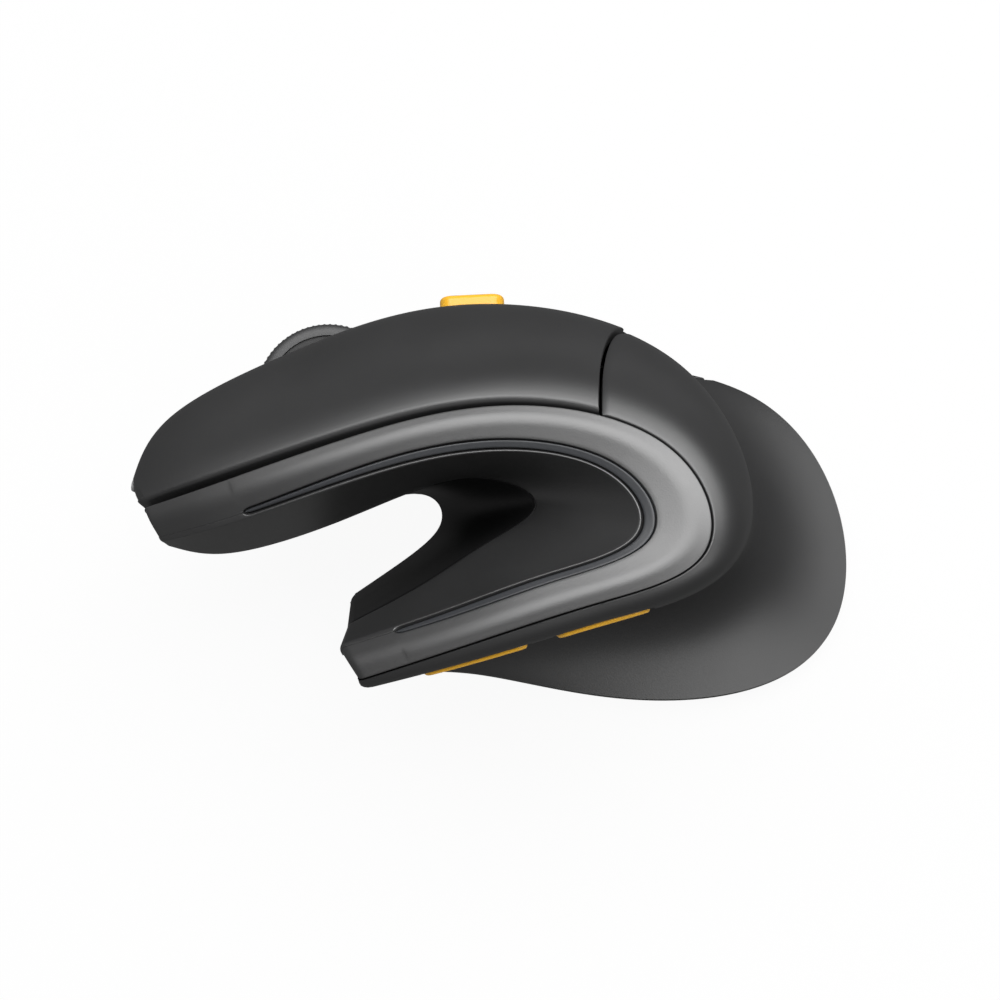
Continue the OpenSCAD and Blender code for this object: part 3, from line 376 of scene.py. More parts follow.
class Signal:
    """An output socket that takes part in Python arithmetic."""

    def __init__(self, graph: "Graph", socket: bpy.types.NodeSocket) -> None:
        """Wrap a socket of a graph."""
        self.graph = graph
        self.socket = socket

    def math(self, operation: str, a: Any, b: Any) -> "Signal":
        """Add a Math node."""
        return self.graph.add("ShaderNodeMath", {"operation": operation}, {0: a, 1: b})

    def __add__(self, other: Any) -> "Signal":
        """Sum."""
        return self.math("ADD", self, other)

    def __radd__(self, other: Any) -> "Signal":
        """Sum, reflected."""
        return self.math("ADD", other, self)

    def __sub__(self, other: Any) -> "Signal":
        """Difference."""
        return self.math("SUBTRACT", self, other)

    def __rsub__(self, other: Any) -> "Signal":
        """Difference, reflected."""
        return self.math("SUBTRACT", other, self)

    def __mul__(self, other: Any) -> "Signal":
        """Product."""
        return self.math("MULTIPLY", self, other)

    def __rmul__(self, other: Any) -> "Signal":
        """Product, reflected."""
        return self.math("MULTIPLY", other, self)

    def limited(self) -> "Signal":
        """The same value held between 0 and 1."""
        return self.graph.add("ShaderNodeClamp", {}, {0: self})


class Graph:
    """Node tree of a material or of the world."""

    def __init__(self, tree: bpy.types.NodeTree) -> None:
        """Start from an empty tree."""
        self.tree = tree
        tree.nodes.clear()

    def node(self, kind: str, settings: dict[str, Any], values: dict[Any, Any]) -> bpy.types.Node:
        """Add a node.

        Args:
            kind: Type of the node.
            settings: Its options, set first.
            values: Numbers, colours or signals for its input sockets.

        Returns:
            The node.
        """
        node = self.tree.nodes.new(kind)
        for key, value in settings.items():
            setattr(node, key, value)
        for key, value in values.items():
            if isinstance(value, Signal):
                self.tree.links.new(value.socket, node.inputs[key])
            else:
                node.inputs[key].default_value = value
        return node

    def add(self, kind: str, settings: dict[str, Any], values: dict[Any, Any],
            output: int | str = 0) -> Signal:
        """Add a node and take one of its outputs."""
        return Signal(self, self.node(kind, settings, values).outputs[output])

    def mix(self, share: Signal, a: Colour, b: Any) -> Signal:
        """Mix two colours by a share."""
        values = {0: share, 6: (*a, 1.0), 7: b if isinstance(b, Signal) else (*b, 1.0)}
        return self.add("ShaderNodeMix", {"data_type": "RGBA"}, values, 2)

    def noise(self, where: Signal, scale: float, detail: float) -> Signal:
        """Cloudy noise over object coordinates."""
        return self.add("ShaderNodeTexNoise", {}, {"Vector": where, "Scale": scale, "Detail": detail})


@dataclass(frozen=True)
class Finish:
    """A moulded or milled surface: a colour that drifts, fine grain, and edges rubbed paler."""

    name: str
    slot: str
    colour: Colour
    pale: Colour
    roughness: Pair = (0.42, 0.54)
    grain_size: float = 0.25
    grain_height: float = 0.02
    cloud_size: float = 14.0
    rubbed: float = 0.25
    metallic: float = 0.0
    specular: float = 0.5
    ior: float = 1.5
    coat: float = 0.0
    sheen: float = 0.0
    transmission: float = 0.0
    stretch: Triple = (1.0, 1.0, 1.0)
    CLOUD_SHARE: ClassVar[float] = 0.6
    GRAIN_SHARE: ClassVar[float] = 0.4
    SHARE_FROM: ClassVar[float] = 0.15
    EDGE_FROM: ClassVar[float] = 0.53
    EDGE_GAIN: ClassVar[float] = 9.0
    ROUGH_GRAIN: ClassVar[float] = 0.08

    def material(self) -> bpy.types.Material:
        """Make the material, or find it if it is there.

        Returns:
            The node-based material of this finish.
        """
        found = bpy.data.materials.get(self.name)
        if found:
            return found
        made = bpy.data.materials.new(self.name)
        made.use_nodes = True
        g = Graph(made.node_tree)
        where = g.add("ShaderNodeTexCoord", {}, {}, "Object")
        drawn = g.add("ShaderNodeMapping", {}, {"Vector": where, "Scale": self.stretch})
        cloud = g.noise(where, 1 / (self.cloud_size * MM), 3.0)
        grain = g.noise(drawn, 1 / (self.grain_size * MM), 2.0)
        bulge = g.add("ShaderNodeNewGeometry", {}, {}, "Pointiness")
        worn = ((bulge - self.EDGE_FROM) * self.EDGE_GAIN).limited() * self.rubbed
        share = (cloud * self.CLOUD_SHARE + grain * self.GRAIN_SHARE + worn - self.SHARE_FROM).limited()
        low, high = self.roughness
        fine = grain * self.ROUGH_GRAIN + (low - self.ROUGH_GRAIN / 2)
        shade = {
            "Base Color": g.mix(share, self.colour, self.pale),
            "Roughness": (cloud * (high - low) + fine).limited(),
            "Metallic": self.metallic,
            "Specular IOR Level": self.specular,
            "IOR": self.ior,
            "Coat Weight": self.coat,
            "Coat Roughness": 0.06,
            "Sheen Weight": self.sheen,
            "Sheen Roughness": 0.4,
            "Transmission Weight": self.transmission,
            "Normal": g.add("ShaderNodeBump", {}, {"Strength": 0.6, "Distance": self.grain_height * MM,
                                                   "Height": grain}),
        }
        skin = g.add("ShaderNodeBsdfPrincipled", {}, shade)
        g.node("ShaderNodeOutputMaterial", {}, {0: skin})
        return made


class Finishes(Enum):
    """Finishes of the mouse."""

    SHELL = Finish("matte_shell", "shell", (0.0080, 0.0081, 0.0085), (0.0140, 0.0142, 0.0148), (0.44, 0.52),
                   specular=1.0, ior=1.62)
    # Bay wall: the shell's black at about half its value, with weaker reflection; the darker colour is
    # painted shade for the deep bay that little light reaches.
    BAY = Finish("bay_painted_shade", "shell", (0.0040, 0.0040, 0.0043), (0.0070, 0.0071, 0.0075), (0.5, 0.6),
                 specular=0.3)
    # Band and scoop: the shell's black plastic at about twice its colour value; the lighter colour is
    # painted light for the band that faces the overhead lamp.
    BAND = Finish("satin_band_painted_light", "band", (0.0160, 0.0161, 0.0164), (0.0250, 0.0252, 0.0257), (0.38, 0.46),
                  specular=1.0, ior=1.70)
    INLAY = Finish("slate_inlay", "inlay", (0.028, 0.030, 0.034), (0.046, 0.049, 0.054), (0.36, 0.44),
                   0.35, 0.01, specular=0.75)
    GLOSS = Finish("gloss_black", "gloss", (0.006, 0.006, 0.007), (0.012, 0.012, 0.013), (0.08, 0.16),
                   0.6, 0.002, coat=0.6)
    AMBER = Finish("amber", "amber", (0.80, 0.30, 0.012), (1.0, 0.47, 0.035), (0.24, 0.34), 0.4, 0.006,
                   6.0, 0.3, coat=0.3)
    TYRE = Finish("black_rubber", "tyre", (0.012, 0.012, 0.013), (0.026, 0.026, 0.027), (0.48, 0.62),
                  0.18, 0.03, specular=0.9, sheen=0.1)
    HUB = Finish("black_nylon", "hub", (0.007, 0.007, 0.0075), (0.014, 0.014, 0.015), (0.45, 0.6))
    STEEL = Finish("plated_steel", "steel", (0.48, 0.49, 0.51), (0.64, 0.65, 0.67), (0.22, 0.38), 0.12,
                   0.006, metallic=1.0, stretch=(1.0, 8.0, 1.0))
    CHASSIS = Finish("chassis_plastic", "chassis", (0.045, 0.045, 0.048), (0.075, 0.075, 0.08),
                     (0.5, 0.65))
    BOARD = Finish("green_board", "board", (0.010, 0.085, 0.030), (0.020, 0.135, 0.050), (0.30, 0.45),
                   0.5, 0.01, coat=0.2)
    SWITCH = Finish("switch_black", "switch", (0.018, 0.018, 0.020), (0.035, 0.035, 0.038), (0.35, 0.5))
    ENCODER = Finish("encoder_ivory", "encoder", (0.60, 0.58, 0.50), (0.70, 0.68, 0.61), (0.4, 0.55))
    FOIL = Finish("cell_foil", "foil", (0.40, 0.41, 0.43), (0.56, 0.57, 0.59), (0.28, 0.42), 0.8, 0.05,
                  metallic=0.8)
    LENS = Finish("clear_lens", "lens", (0.80, 0.84, 0.88), (0.90, 0.93, 0.96), (0.05, 0.12), 0.8, 0.002,
                  transmission=0.8)
    GLIDE = Finish("glide_pad", "glide", (0.52, 0.51, 0.47), (0.66, 0.65, 0.61), (0.36, 0.48), 0.3, 0.01)


def add_piece(name: str, solid: Solid, finish: Finishes, body: Body, *nodes: str,
              sharp: float = SHARP) -> bpy.types.Object:
    """Put a dressed piece on its body in place of its CAD nodes.

    Args:
        name: Name of the piece.
        solid: Its shape.
        finish: Its finish.
        body: The body that it moves with.
        nodes: CAD nodes that it stands for.
        sharp: Angle in degrees above which an edge stays sharp.

    Returns:
        The new object.
    """
    mesh = solid.mesh(name, sharp)
    piece = bpy.data.objects.new(name, mesh)
    bpy.context.scene.collection.objects.link(piece)
    mesh.materials.append(finish.value.material())
    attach(piece, body.value)
    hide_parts(*nodes)
    LOG.info("%s: %d faces, %s, on %s", name, len(mesh.polygons), finish.value.name, body.value)
    return piece


def cut_away(piece: bpy.types.Object, tool: Solid) -> None:
    """Cut a solid from a piece and keep the plain mesh."""
    cutter = bpy.data.objects.new("cutter", tool.mesh("cutter", SHARP))
    bpy.context.scene.collection.objects.link(cutter)
    cut = piece.modifiers.new("opening", "BOOLEAN")
    cut.operation = "DIFFERENCE"
    cut.solver = "EXACT"
    cut.object = cutter
    view = bpy.context.evaluated_depsgraph_get()
    spent = piece.data, cutter.data
    piece.data = bpy.data.meshes.new_from_object(piece.evaluated_get(view))
    piece.modifiers.clear()
    bpy.data.objects.remove(cutter)
    for mesh in spent:
        bpy.data.meshes.remove(mesh)
    piece.data.shade_smooth()
    piece.data.set_sharp_from_angle(angle=math.radians(SHARP))


@dataclass
class Panel:
    """A moulded cover over a four-sided patch of the skin, with rolled edges and round corners."""

    skin: Skin
    start: Edge
    stop: Edge
    low: Edge
    high: Edge
    lift: float
    depth: float
    rolls: Rolls
    corner: float
    steps: Steps
    roll_steps: int = 5
    round_stop: bool = True
    swell: Callable[[Array, Array], Array] = field(default=lambda u, v: np.zeros_like(u))

    def ruling(self, near: float, far: float, count: int) -> tuple[Array, Array, Array]:
        """Lines across the patch in one direction.

        Args:
            near: Rolling radius at the near edge.
            far: Rolling radius at the far edge.
            count: Steps between the rolled edges.

        Returns:
            Shares of the way, distances from the near edge, and distances from the far edge.
        """
        reach = max(self.corner, near), max(self.corner, far)
        turn = np.linspace(0, QUARTER, self.roll_steps + 1)

        def edge(roll: float, end: float) -> Array:
            """Distances of the lines of one rolled edge."""
            bent = roll * (1 - np.cos(turn))
            rest = np.linspace(roll, end, 4)[1:] if end > roll + TINY else np.array([])
            return np.concatenate([bent, rest])

        a, b = edge(near, reach[0]), edge(far, reach[1])[::-1]
        inner = np.linspace(0, 1, count + 1)[1:-1]
        share = np.concatenate([np.zeros(len(a)), inner, np.ones(len(b))])
        from_near = np.concatenate([a, np.full(len(inner), reach[0]), np.zeros(len(b))])
        from_far = np.concatenate([np.zeros(len(a)), np.full(len(inner), reach[1]), b])
        return share, from_near, from_far

    def solid(self) -> Solid:
        """Draw the cover as a closed solid.

        Returns:
            The solid, in millimetres.
        """
        r_start, r_stop, r_low, r_high = self.rolls
        su, nu, fu = (q[:, None] for q in self.ruling(r_start, r_stop, self.steps[0]))
        sv, nv, fv = (q[None, :] for q in self.ruling(r_low, r_high, self.steps[1]))
        shape = np.broadcast_shapes(su.shape, sv.shape)
        su, nu, fu, sv, nv, fv = (np.broadcast_to(q, shape).copy() for q in (su, nu, fu, sv, nv, fv))
        du, dv = nu + fu, nv + fv
        edge_u, edge_v = (su == 0) | (su == 1), (sv == 0) | (sv == 1)
        depth = np.zeros(shape)
        for r, on, d in ((r_start, su == 0, du), (r_stop, su == 1, du), (r_low, sv == 0, dv),
                         (r_high, sv == 1, dv)):
            depth = np.where(on, np.maximum(depth, roll_depth(d, r)), depth)
        if self.corner > 0:
            round_off = edge_u & edge_v & (du < self.corner) & (dv < self.corner)
            round_off &= (su == 0) | self.round_stop
            x, y = 1 - du / self.corner, 1 - dv / self.corner
            x2, y2 = x * np.sqrt(1 - y * y / 2), y * np.sqrt(1 - x * x / 2)
            radius = np.minimum(np.where(su == 0, r_start, r_stop), np.where(sv == 0, r_low, r_high))
            rim = self.corner * (1 - np.sqrt(x2 * x2 + y2 * y2))
            inward = np.clip(radius - rim, 0, radius)
            bent = radius - np.sqrt(np.maximum(radius ** 2 - inward ** 2, 0))
            depth = np.where(round_off, bent, depth)
            nu = np.where(round_off & (su == 0), self.corner * (1 - x2), nu)
            fu = np.where(round_off & (su == 1), self.corner * (1 - x2), fu)
            nv = np.where(round_off & (sv == 0), self.corner * (1 - y2), nv)
            fv = np.where(round_off & (sv == 1), self.corner * (1 - y2), fv)
        guess, last = np.array(2.0), Edges.RIM - 0.03
        v = blend(self.low(guess), self.high(guess), sv)
        for _ in range(3):
            u = blend(self.start(v), self.stop(v), su)
            u = np.clip(u + self.skin.u_step(u, v, 1.0) * ((1 - su) * nu - su * fu), 0, Skin.TIP)
            v = blend(self.low(u), self.high(u), sv)
            v = v + self.skin.v_step(u, np.minimum(v, last), 1.0) * ((1 - sv) * nv - sv * fv)
            v = np.clip(v, Edges.BAY, Edges.RIM)
        rise = self.lift + self.swell(u, v) - depth
        outer = self.skin.point(u, v) + rise[..., None] * self.skin.facing(u, v)
        return grid_solid(outer, self.skin.inside(u, v, self.depth))


@dataclass
class Layout:
    """Places and gaps that the covers share."""

    skin: Skin
    seam: float = 0.3
    wall: float = 2.0
    button_t: float = 1.8
    button_gap: float = 0.6
    nose_gap: float = 1.5
    swing: float = 0.5
    strip_at: float = 1.5
    strip_w: float = 11.0
    wheel_at: float = 2.11
    speed_at: float = 3.03
    right_end: float = 2.55
    seam_at: float = 3.55
    seam_sweep: float = 0.235
    seam_curl: float = 1.6
    ridge_probe: float = 0.05
    shoulder: Pair = (0.34, 6.5)
    shoulder_at: Four = (0.3, 3.4, 5.2, 6.0)
    shoulder_share: Four = (0.3, 1.0, 1.0, 0.25)
    strip_low: float = field(init=False)
    strip_high: float = field(init=False)

    def __post_init__(self) -> None:
        """Work out the edges of the strip."""
        half = float(self.skin.v_step(self.wheel_at, self.strip_at, self.strip_w / 2))
        self.strip_low, self.strip_high = self.strip_at - half, self.strip_at + half

    def button_end(self, v: Array) -> Array:
        """Station of the rear seam of the click buttons."""
        share = np.clip(v, 0.0, self.strip_at) / self.strip_at
        return self.seam_at + self.seam_sweep * share ** self.seam_curl

    def button_stop(self, v: Array) -> Array:
        """Station where the click buttons end."""
        end = self.button_end(v)
        return end - self.skin.u_step(end, v, self.seam)

    def room(self, u: Array) -> Array:
        """Gap at the edge that a click button swings towards, in millimetres."""
        return self.button_gap / 2 + self.swing * np.clip(1 - u / self.seam_at, 0.0, 1.0)

    def beside(self, place: float, gap: Callable[[Array], Any]) -> Edge:
        """Edge at a gap in millimetres from a place across the skin."""
        return lambda u: place + self.skin.v_step(u, np.full_like(u, place), gap(u))

    def from_ridge(self, u: Array, d: Any) -> Array:
        """Place d millimetres outside the ridge."""
        return self.skin.v_step(u, np.full_like(u, self.ridge_probe), d)

    def swell(self, u: Array, v: Array) -> Array:
        """Rise of the covers beside the band, in millimetres, that turns their shoulder level."""
        slope, width = self.shoulder
        away = v / self.skin.v_step(u, np.zeros_like(u), 1.0)
        share = np.interp(u, self.shoulder_at, self.shoulder_share)
        return share * slope * away * np.exp(-(away / width) ** 2)

    def left_edge(self, u: Array) -> Array:
        """Upper edge of the left button: its gap to the ridge narrows from the nose to the rear."""
        return self.from_ridge(u, blend(self.nose_gap, self.seam, np.minimum(1.0, u / self.seam_at)))


@dataclass
class ClickButtons:
    """Left and right click buttons and the finger side cover below them."""

    layout: Layout
    proud: float = 0.5
    left_rolls: Rolls = (1.3, 0.3, 0.8, 0.5)
    right_rolls: Rolls = (0.9, 0.3, 0.5, 0.5)
    skirt_rolls: Rolls = (0.6, 0.3, 0.4, 0.3)
    corners: Pair = (0.8, 0.9)
    steps: Steps = (90, 34)

    def build(self) -> None:
        """Make the three covers of the finger side."""
        lay, skin = self.layout, self.layout.skin
        gap = lay.button_gap / 2
        left = Panel(skin, np.zeros_like, lay.button_stop, lay.left_edge,
                     lay.beside(lay.strip_low, lambda u: -lay.room(u)), self.proud, lay.button_t,
                     self.left_rolls, self.corners[0], self.steps, round_stop=False, swell=lay.swell)
        right = Panel(skin, np.zeros_like, lay.button_stop, lay.beside(lay.strip_high, lambda u: gap),
                      lay.beside(lay.right_end, lambda u: -lay.room(u)), 0.0, lay.button_t,
                      self.right_rolls, self.corners[1], self.steps)
        skirt = Panel(skin, np.zeros_like, lay.button_stop,
                      lay.beside(lay.right_end, lambda u: gap + lay.swing / 2), level(Edges.RIM), 0.0,
                      lay.wall, self.skirt_rolls, 0.0, self.steps)
        add_piece("left_click_button", left.solid(), Finishes.SHELL, Body.LEFT, "left_button")
        add_piece("right_click_button", right.solid(), Finishes.SHELL, Body.RIGHT, "right_button")
        add_piece("finger_side_cover", skirt.solid(), Finishes.SHELL, Body.HOUSING, "finger_skirt")


@dataclass
class CentreStrip:
    """Gloss strip between the click buttons, with the wheel slot and the speed button's opening."""

    layout: Layout
    button: "SpeedButton"
    first: float = 0.42
    slot: Pair = (22.3, 7.6)
    slot_corner: float = 1.2
    gap: float = 0.35
    reach: float = 12.0
    rolls: Rolls = (0.5, 0.3, 0.4, 0.4)
    corner: float = 0.6
    steps: Steps = (90, 24)

    def build(self) -> None:
        """Make the strip and cut its two openings."""
        lay, skin = self.layout, self.layout.skin
        edge = float(skin.v_step(lay.wheel_at, lay.strip_at, lay.button_gap / 2))
        strip = Panel(skin, level(self.first), lay.button_stop, level(lay.strip_low + edge),
                      level(lay.strip_high - edge), 0.0, lay.wall, self.rolls, self.corner, self.steps)
        piece = add_piece("gloss_strip", strip.solid(), Finishes.GLOSS, Body.HOUSING, "centre_strip")
        length, width = (q + 2 * self.gap for q in self.button.size)
        for at, outline in ((lay.wheel_at, stadium_outline(*self.slot, self.slot_corner)),
                            (lay.speed_at, stadium_outline(length, width, width / 2))):
            tool = rounded_prism(outline, [(0, -self.reach), (0, self.reach)])
            cut_away(piece, tool.moved(skin.seat(at, lay.strip_at)))


def stadium_outline(length: float, width: float, radius: float, steps: int = 10) -> Array:
    """Outline of a bar with round corners.

    Args:
        length: Length of the bar.
        width: Width of the bar.
        radius: Radius of its corners.
        steps: Steps in each corner.

    Returns:
        Points in order, one a row.
    """
    corners = ((1, 1, 0), (-1, 1, 90), (-1, -1, 180), (1, -1, 270))
    out = []
    for sx, sy, first in corners:
        turn = np.radians(first + np.linspace(0, 90, steps + 1))
        centre = np.array([sx * (length / 2 - radius), sy * (width / 2 - radius)])
        out.append(centre + radius * np.stack([np.cos(turn), np.sin(turn)], 1))
    return np.concatenate(out)


def rounded_prism(outline: Array, levels: Sequence[tuple[float, float]]) -> Solid:
    """Stack an outline into a prism.

    Args:
        outline: Outline seen from above, in order against the clock.
        levels: For each level its inset and its height, from the bottom up.

    Returns:
        The closed prism.
    """
    ahead = np.roll(outline, -1, 0) - np.roll(outline, 1, 0)
    inward = unit(np.stack([-ahead[:, 1], ahead[:, 0]], 1))
    count = len(outline)
    rings = [np.column_stack([outline + inset * inward, np.full(count, z)]) for inset, z in levels]
    faces: list[tuple[int, ...]] = [tuple(range(count - 1, -1, -1))]
    for k in range(len(levels) - 1):
        for i in range(count):
            j = (i + 1) % count
            faces.append((k * count + i, k * count + j, (k + 1) * count + j, (k + 1) * count + i))
    top = (len(levels) - 1) * count
    faces.append(tuple(range(top, top + count)))
    return Solid(np.concatenate(rings), faces)


@dataclass
class SpeedButton:
    """Amber bar behind the wheel."""

    layout: Layout
    size: Pair = (11.0, 4.4)
    proud: float = 2.8
    depth: float = 1.6
    roll: float = 0.9
    end_flat: float = 0.02
    steps: Steps = (6, 14)

    def build(self) -> None:
        """Make the bar with a rolled top edge."""
        turn = np.linspace(0, QUARTER, self.steps[0] + 1)
        levels = [(0.0, -self.depth)] + [
            (self.roll * (1 - math.cos(t)), self.proud - self.roll * (1 - math.sin(t))) for t in turn]
        length, width = self.size
        outline = stadium_outline(length, width, width / 2 - self.end_flat, self.steps[1])
        lay = self.layout
        solid = rounded_prism(outline, levels).moved(lay.skin.seat(lay.speed_at, lay.strip_at))
        add_piece("speed_bar", solid, Finishes.AMBER, Body.SPEED, "speed_button", sharp=SMALL_SHARP)


@dataclass
class ThumbButtons:
    """Amber front and rear thumb buttons."""

    layout: Layout
    back: Pair = (6.05, 15.0)
    forward: Pair = (7.0, 17.0)
    high: float = 0.74
    low: float = 1.36
    proud: float = 0.7
    depth: float = 1.6
    roll: float = 0.6
    corner: float = 1.8
    steps: Steps = (24, 12)

    def span(self, at: float, length: float) -> float:
        """Half the length of a button, counted along the skin."""
        return float(self.layout.skin.u_step(at, (self.high + self.low) / 2, length / 2))

    def build(self) -> None:
        """Make both buttons."""
        for name, node, body, (at, length) in (
                ("thumb_rear_button", "back_button", Body.BACK, self.back),
                ("thumb_front_button", "forward_button", Body.FORWARD, self.forward)):
            half = self.span(at, length)
            pad = Panel(self.layout.skin, level(at - half), level(at + half), level(self.high),
                        level(self.low), self.proud, self.depth, (self.roll,) * 4, self.corner, self.steps)
            add_piece(name, pad.solid(), Finishes.AMBER, body, node, sharp=SMALL_SHARP)


@dataclass
class PalmCover:
    """Palm cover with the wide flange, open where the thumb buttons come through."""

    layout: Layout
    thumbs: ThumbButtons
    gap: float = 0.5
    edge_roll: float = 0.3
    edge_share: tuple[float, ...] = (0.0, 0.08, 0.27, 0.57, 1.0)
    tip_roll: float = 1.0
    tip_share: tuple[float, ...] = (1.0, 0.6, 0.3, 0.08, 0.0)
    tip_clear: float = 0.1
    counts: tuple[int, ...] = (96, 1, 14, 1, 4, 1, 15, 1, 8)
    across: tuple[int, ...] = (18, 1, 10, 1, 40)

    def build(self) -> None:
        """Make the cover with its two windows."""
        lay, skin, th = self.layout, self.layout.skin, self.thumbs
        middle = th.back[0], (th.high + th.low) / 2
        gap_u, rim_u = (float(skin.u_step(*middle, d)) for d in (self.gap, self.edge_roll))
        gap_v, rim_v = (float(skin.v_step(*middle, d)) for d in (self.gap, self.edge_roll))
        marks: list[float] = []
        for at, length in (th.back, th.forward):
            reach = th.span(at, length) + gap_u
            marks += [at - reach - rim_u, at - reach, at + reach, at + reach + rim_u]
        first = float(lay.button_end(np.array(0.0)))
        tip_mm = self.tip_roll * np.array(self.tip_share)
        tip = Skin.TIP - float(skin.u_step(Skin.TIP, 1.0, 1.0)) * tip_mm
        base = ruled([first, *marks, Skin.TIP], self.counts)
        base = np.concatenate([base[base < min(Skin.TIP - self.tip_clear, tip[0] - MM)], tip])
        roll = self.edge_roll * np.array(self.edge_share)
        top, bottom = th.high - gap_v, th.low + gap_v
        places = ruled([0.0, top - rim_v, top, bottom, bottom + rim_v, Edges.RIM], self.across)
        v = np.tile(np.concatenate([0 * roll, places[1:]]), (len(base), 1))
        start = lay.button_end(v)
        start = start + skin.u_step(start, v, lay.seam)
        shift = np.clip(1 - (base - first) / (marks[0] - first), 0, 1)[:, None]
        u = base[:, None] + (start - first) * shift
        edge, end = slice(0, len(roll)), slice(-len(tip), None)
        v[:, edge] = skin.v_step(u[:, edge], 0.0, 1.0) * (lay.seam / 2 + roll)
        depth = np.zeros_like(u)
        depth[:, edge] = roll_depth(roll, self.edge_roll)
        depth[end] = np.maximum(depth[end], roll_depth(tip_mm, self.tip_roll)[:, None])
        depth[0] = self.edge_roll
        rows = np.cumsum([0, *self.counts])
        cols = len(roll) - 1 + np.cumsum([0, *self.across])
        holes = [(rows[k], rows[k + 1], cols[2], cols[3]) for k in (2, 6)]
        for i0, i1, j0, j1 in holes:
            depth[i0:i1 + 1, [j0, j1]] = self.edge_roll
            depth[[i0, i1], j0:j1 + 1] = self.edge_roll
        outer = skin.point(u, v) + (lay.swell(u, v) - depth)[..., None] * skin.facing(u, v)
        solid = grid_solid(outer, skin.inside(u, v, lay.wall), holes)
        add_piece("palm_cover", solid, Finishes.SHELL, Body.HOUSING, "palm_shell")


@dataclass
class Inlay:
    """Groove along the inner edge of the band and the strip that lies in it."""

    skin: Skin
    first: float = 1.05
    last: float = 7.5
    width: float = 2.4
    taper: tuple[float, ...] = (0.5, 0.55, 0.75, 0.92, 1.05, 1.1, 1.05, 0.85, 0.5)
    ledge: float = 0.3
    end_round: float = 0.08
    end_gap: float = 0.015
    end_turn: float = 0.25
    groove: float = 1.1
    bed: float = 0.12
    foot: float = 0.05
    sink: float = 0.28
    edge: float = 0.28
    gap: float = 0.3
    least: float = 0.03
    lip_clear: float = 0.01
    steps: int = 181

    def span(self, u: Array) -> Array:
        """Width of the groove zone in millimetres."""
        return self.width * self.skin.spline(np.array(self.taper)[:, None], u)[..., 0]

    def openness(self, u: Array, inset: float = 0.0) -> Array:
        """Share of its full width that the groove has, rounded off at both ends."""
        a = np.clip((self.first + inset + self.end_round - u) / self.end_round, 0, 1)
        b = np.clip((u - self.last + inset + self.end_round) / self.end_round, 0, 1)
        return np.sqrt(np.maximum(0, 1 - np.maximum(a, b) ** 2))

    def band_v(self, u: Array, d: Array) -> Array:
        """Place on the band at d millimetres from the lip."""
        size = np.linalg.norm(self.skin.line("ridge", u) - self.skin.line("lip", u), axis=-1)
        return Edges.LIP + d / size

    def face(self, u: Array, v: Array) -> Array:
        """Outward direction of the band, clear of the lip."""
        return self.skin.facing(u, np.maximum(v, Edges.LIP + Skin.REACH + self.lip_clear))

    def corner(self, u: Array, d: Array, depth: Any) -> Array:
        """Section corner d millimetres from the lip and a depth below the band, with its place v."""
        v = self.band_v(u, d)
        point = self.skin.point(u, v) - np.reshape(depth, (-1, 1)) * self.face(u, v)
        return np.column_stack([point, v])

    def stations(self, inset: float = 0.0, turn: float = 0.0, count: int = 9) -> Array:
        """Stations along the groove, close together at its round ends.

        Args:
            inset: Distance kept from both ends.
            turn: Angle at which the round ends start.
            count: Stations in each round end.

        Returns:
            The stations in order.
        """
        first, last = self.first + inset, self.last - inset
        bow = self.end_round * (1 - np.cos(np.linspace(turn, QUARTER, count)))
        middle = np.linspace(first + self.end_round, last - self.end_round, self.steps)[1:-1]
        return np.concatenate([first + bow, middle, (last - bow)[::-1]])

    def build(self) -> None:
        """Make the strip with eased edges."""
        u = self.stations(self.end_gap, self.end_turn, 8)
        span = self.span(u)
        mid = (self.ledge + span) / 2
        half = ((span - self.ledge) / 2 - self.gap) * self.openness(u, self.end_gap)
        half = np.maximum(half, self.least)
        low = self.groove - self.bed
        foot = low - self.foot
        top = [self.corner(u, mid + side * half, depth)
               for side, depth in ((-1, foot), (-1, self.sink), (1, self.sink), (1, foot))]
        outer = sweep_profile(top, (self.edge, self.edge), (4, 4), (1, 3, 1))
        v = outer[..., 3]
        inner = self.skin.point(u[:, None], v) - low * self.face(u[:, None], v)
        add_piece("slate_strip", grid_solid(outer[..., :3], inner), Finishes.INLAY, Body.HOUSING,
                  "inlay_strip", sharp=SMALL_SHARP)


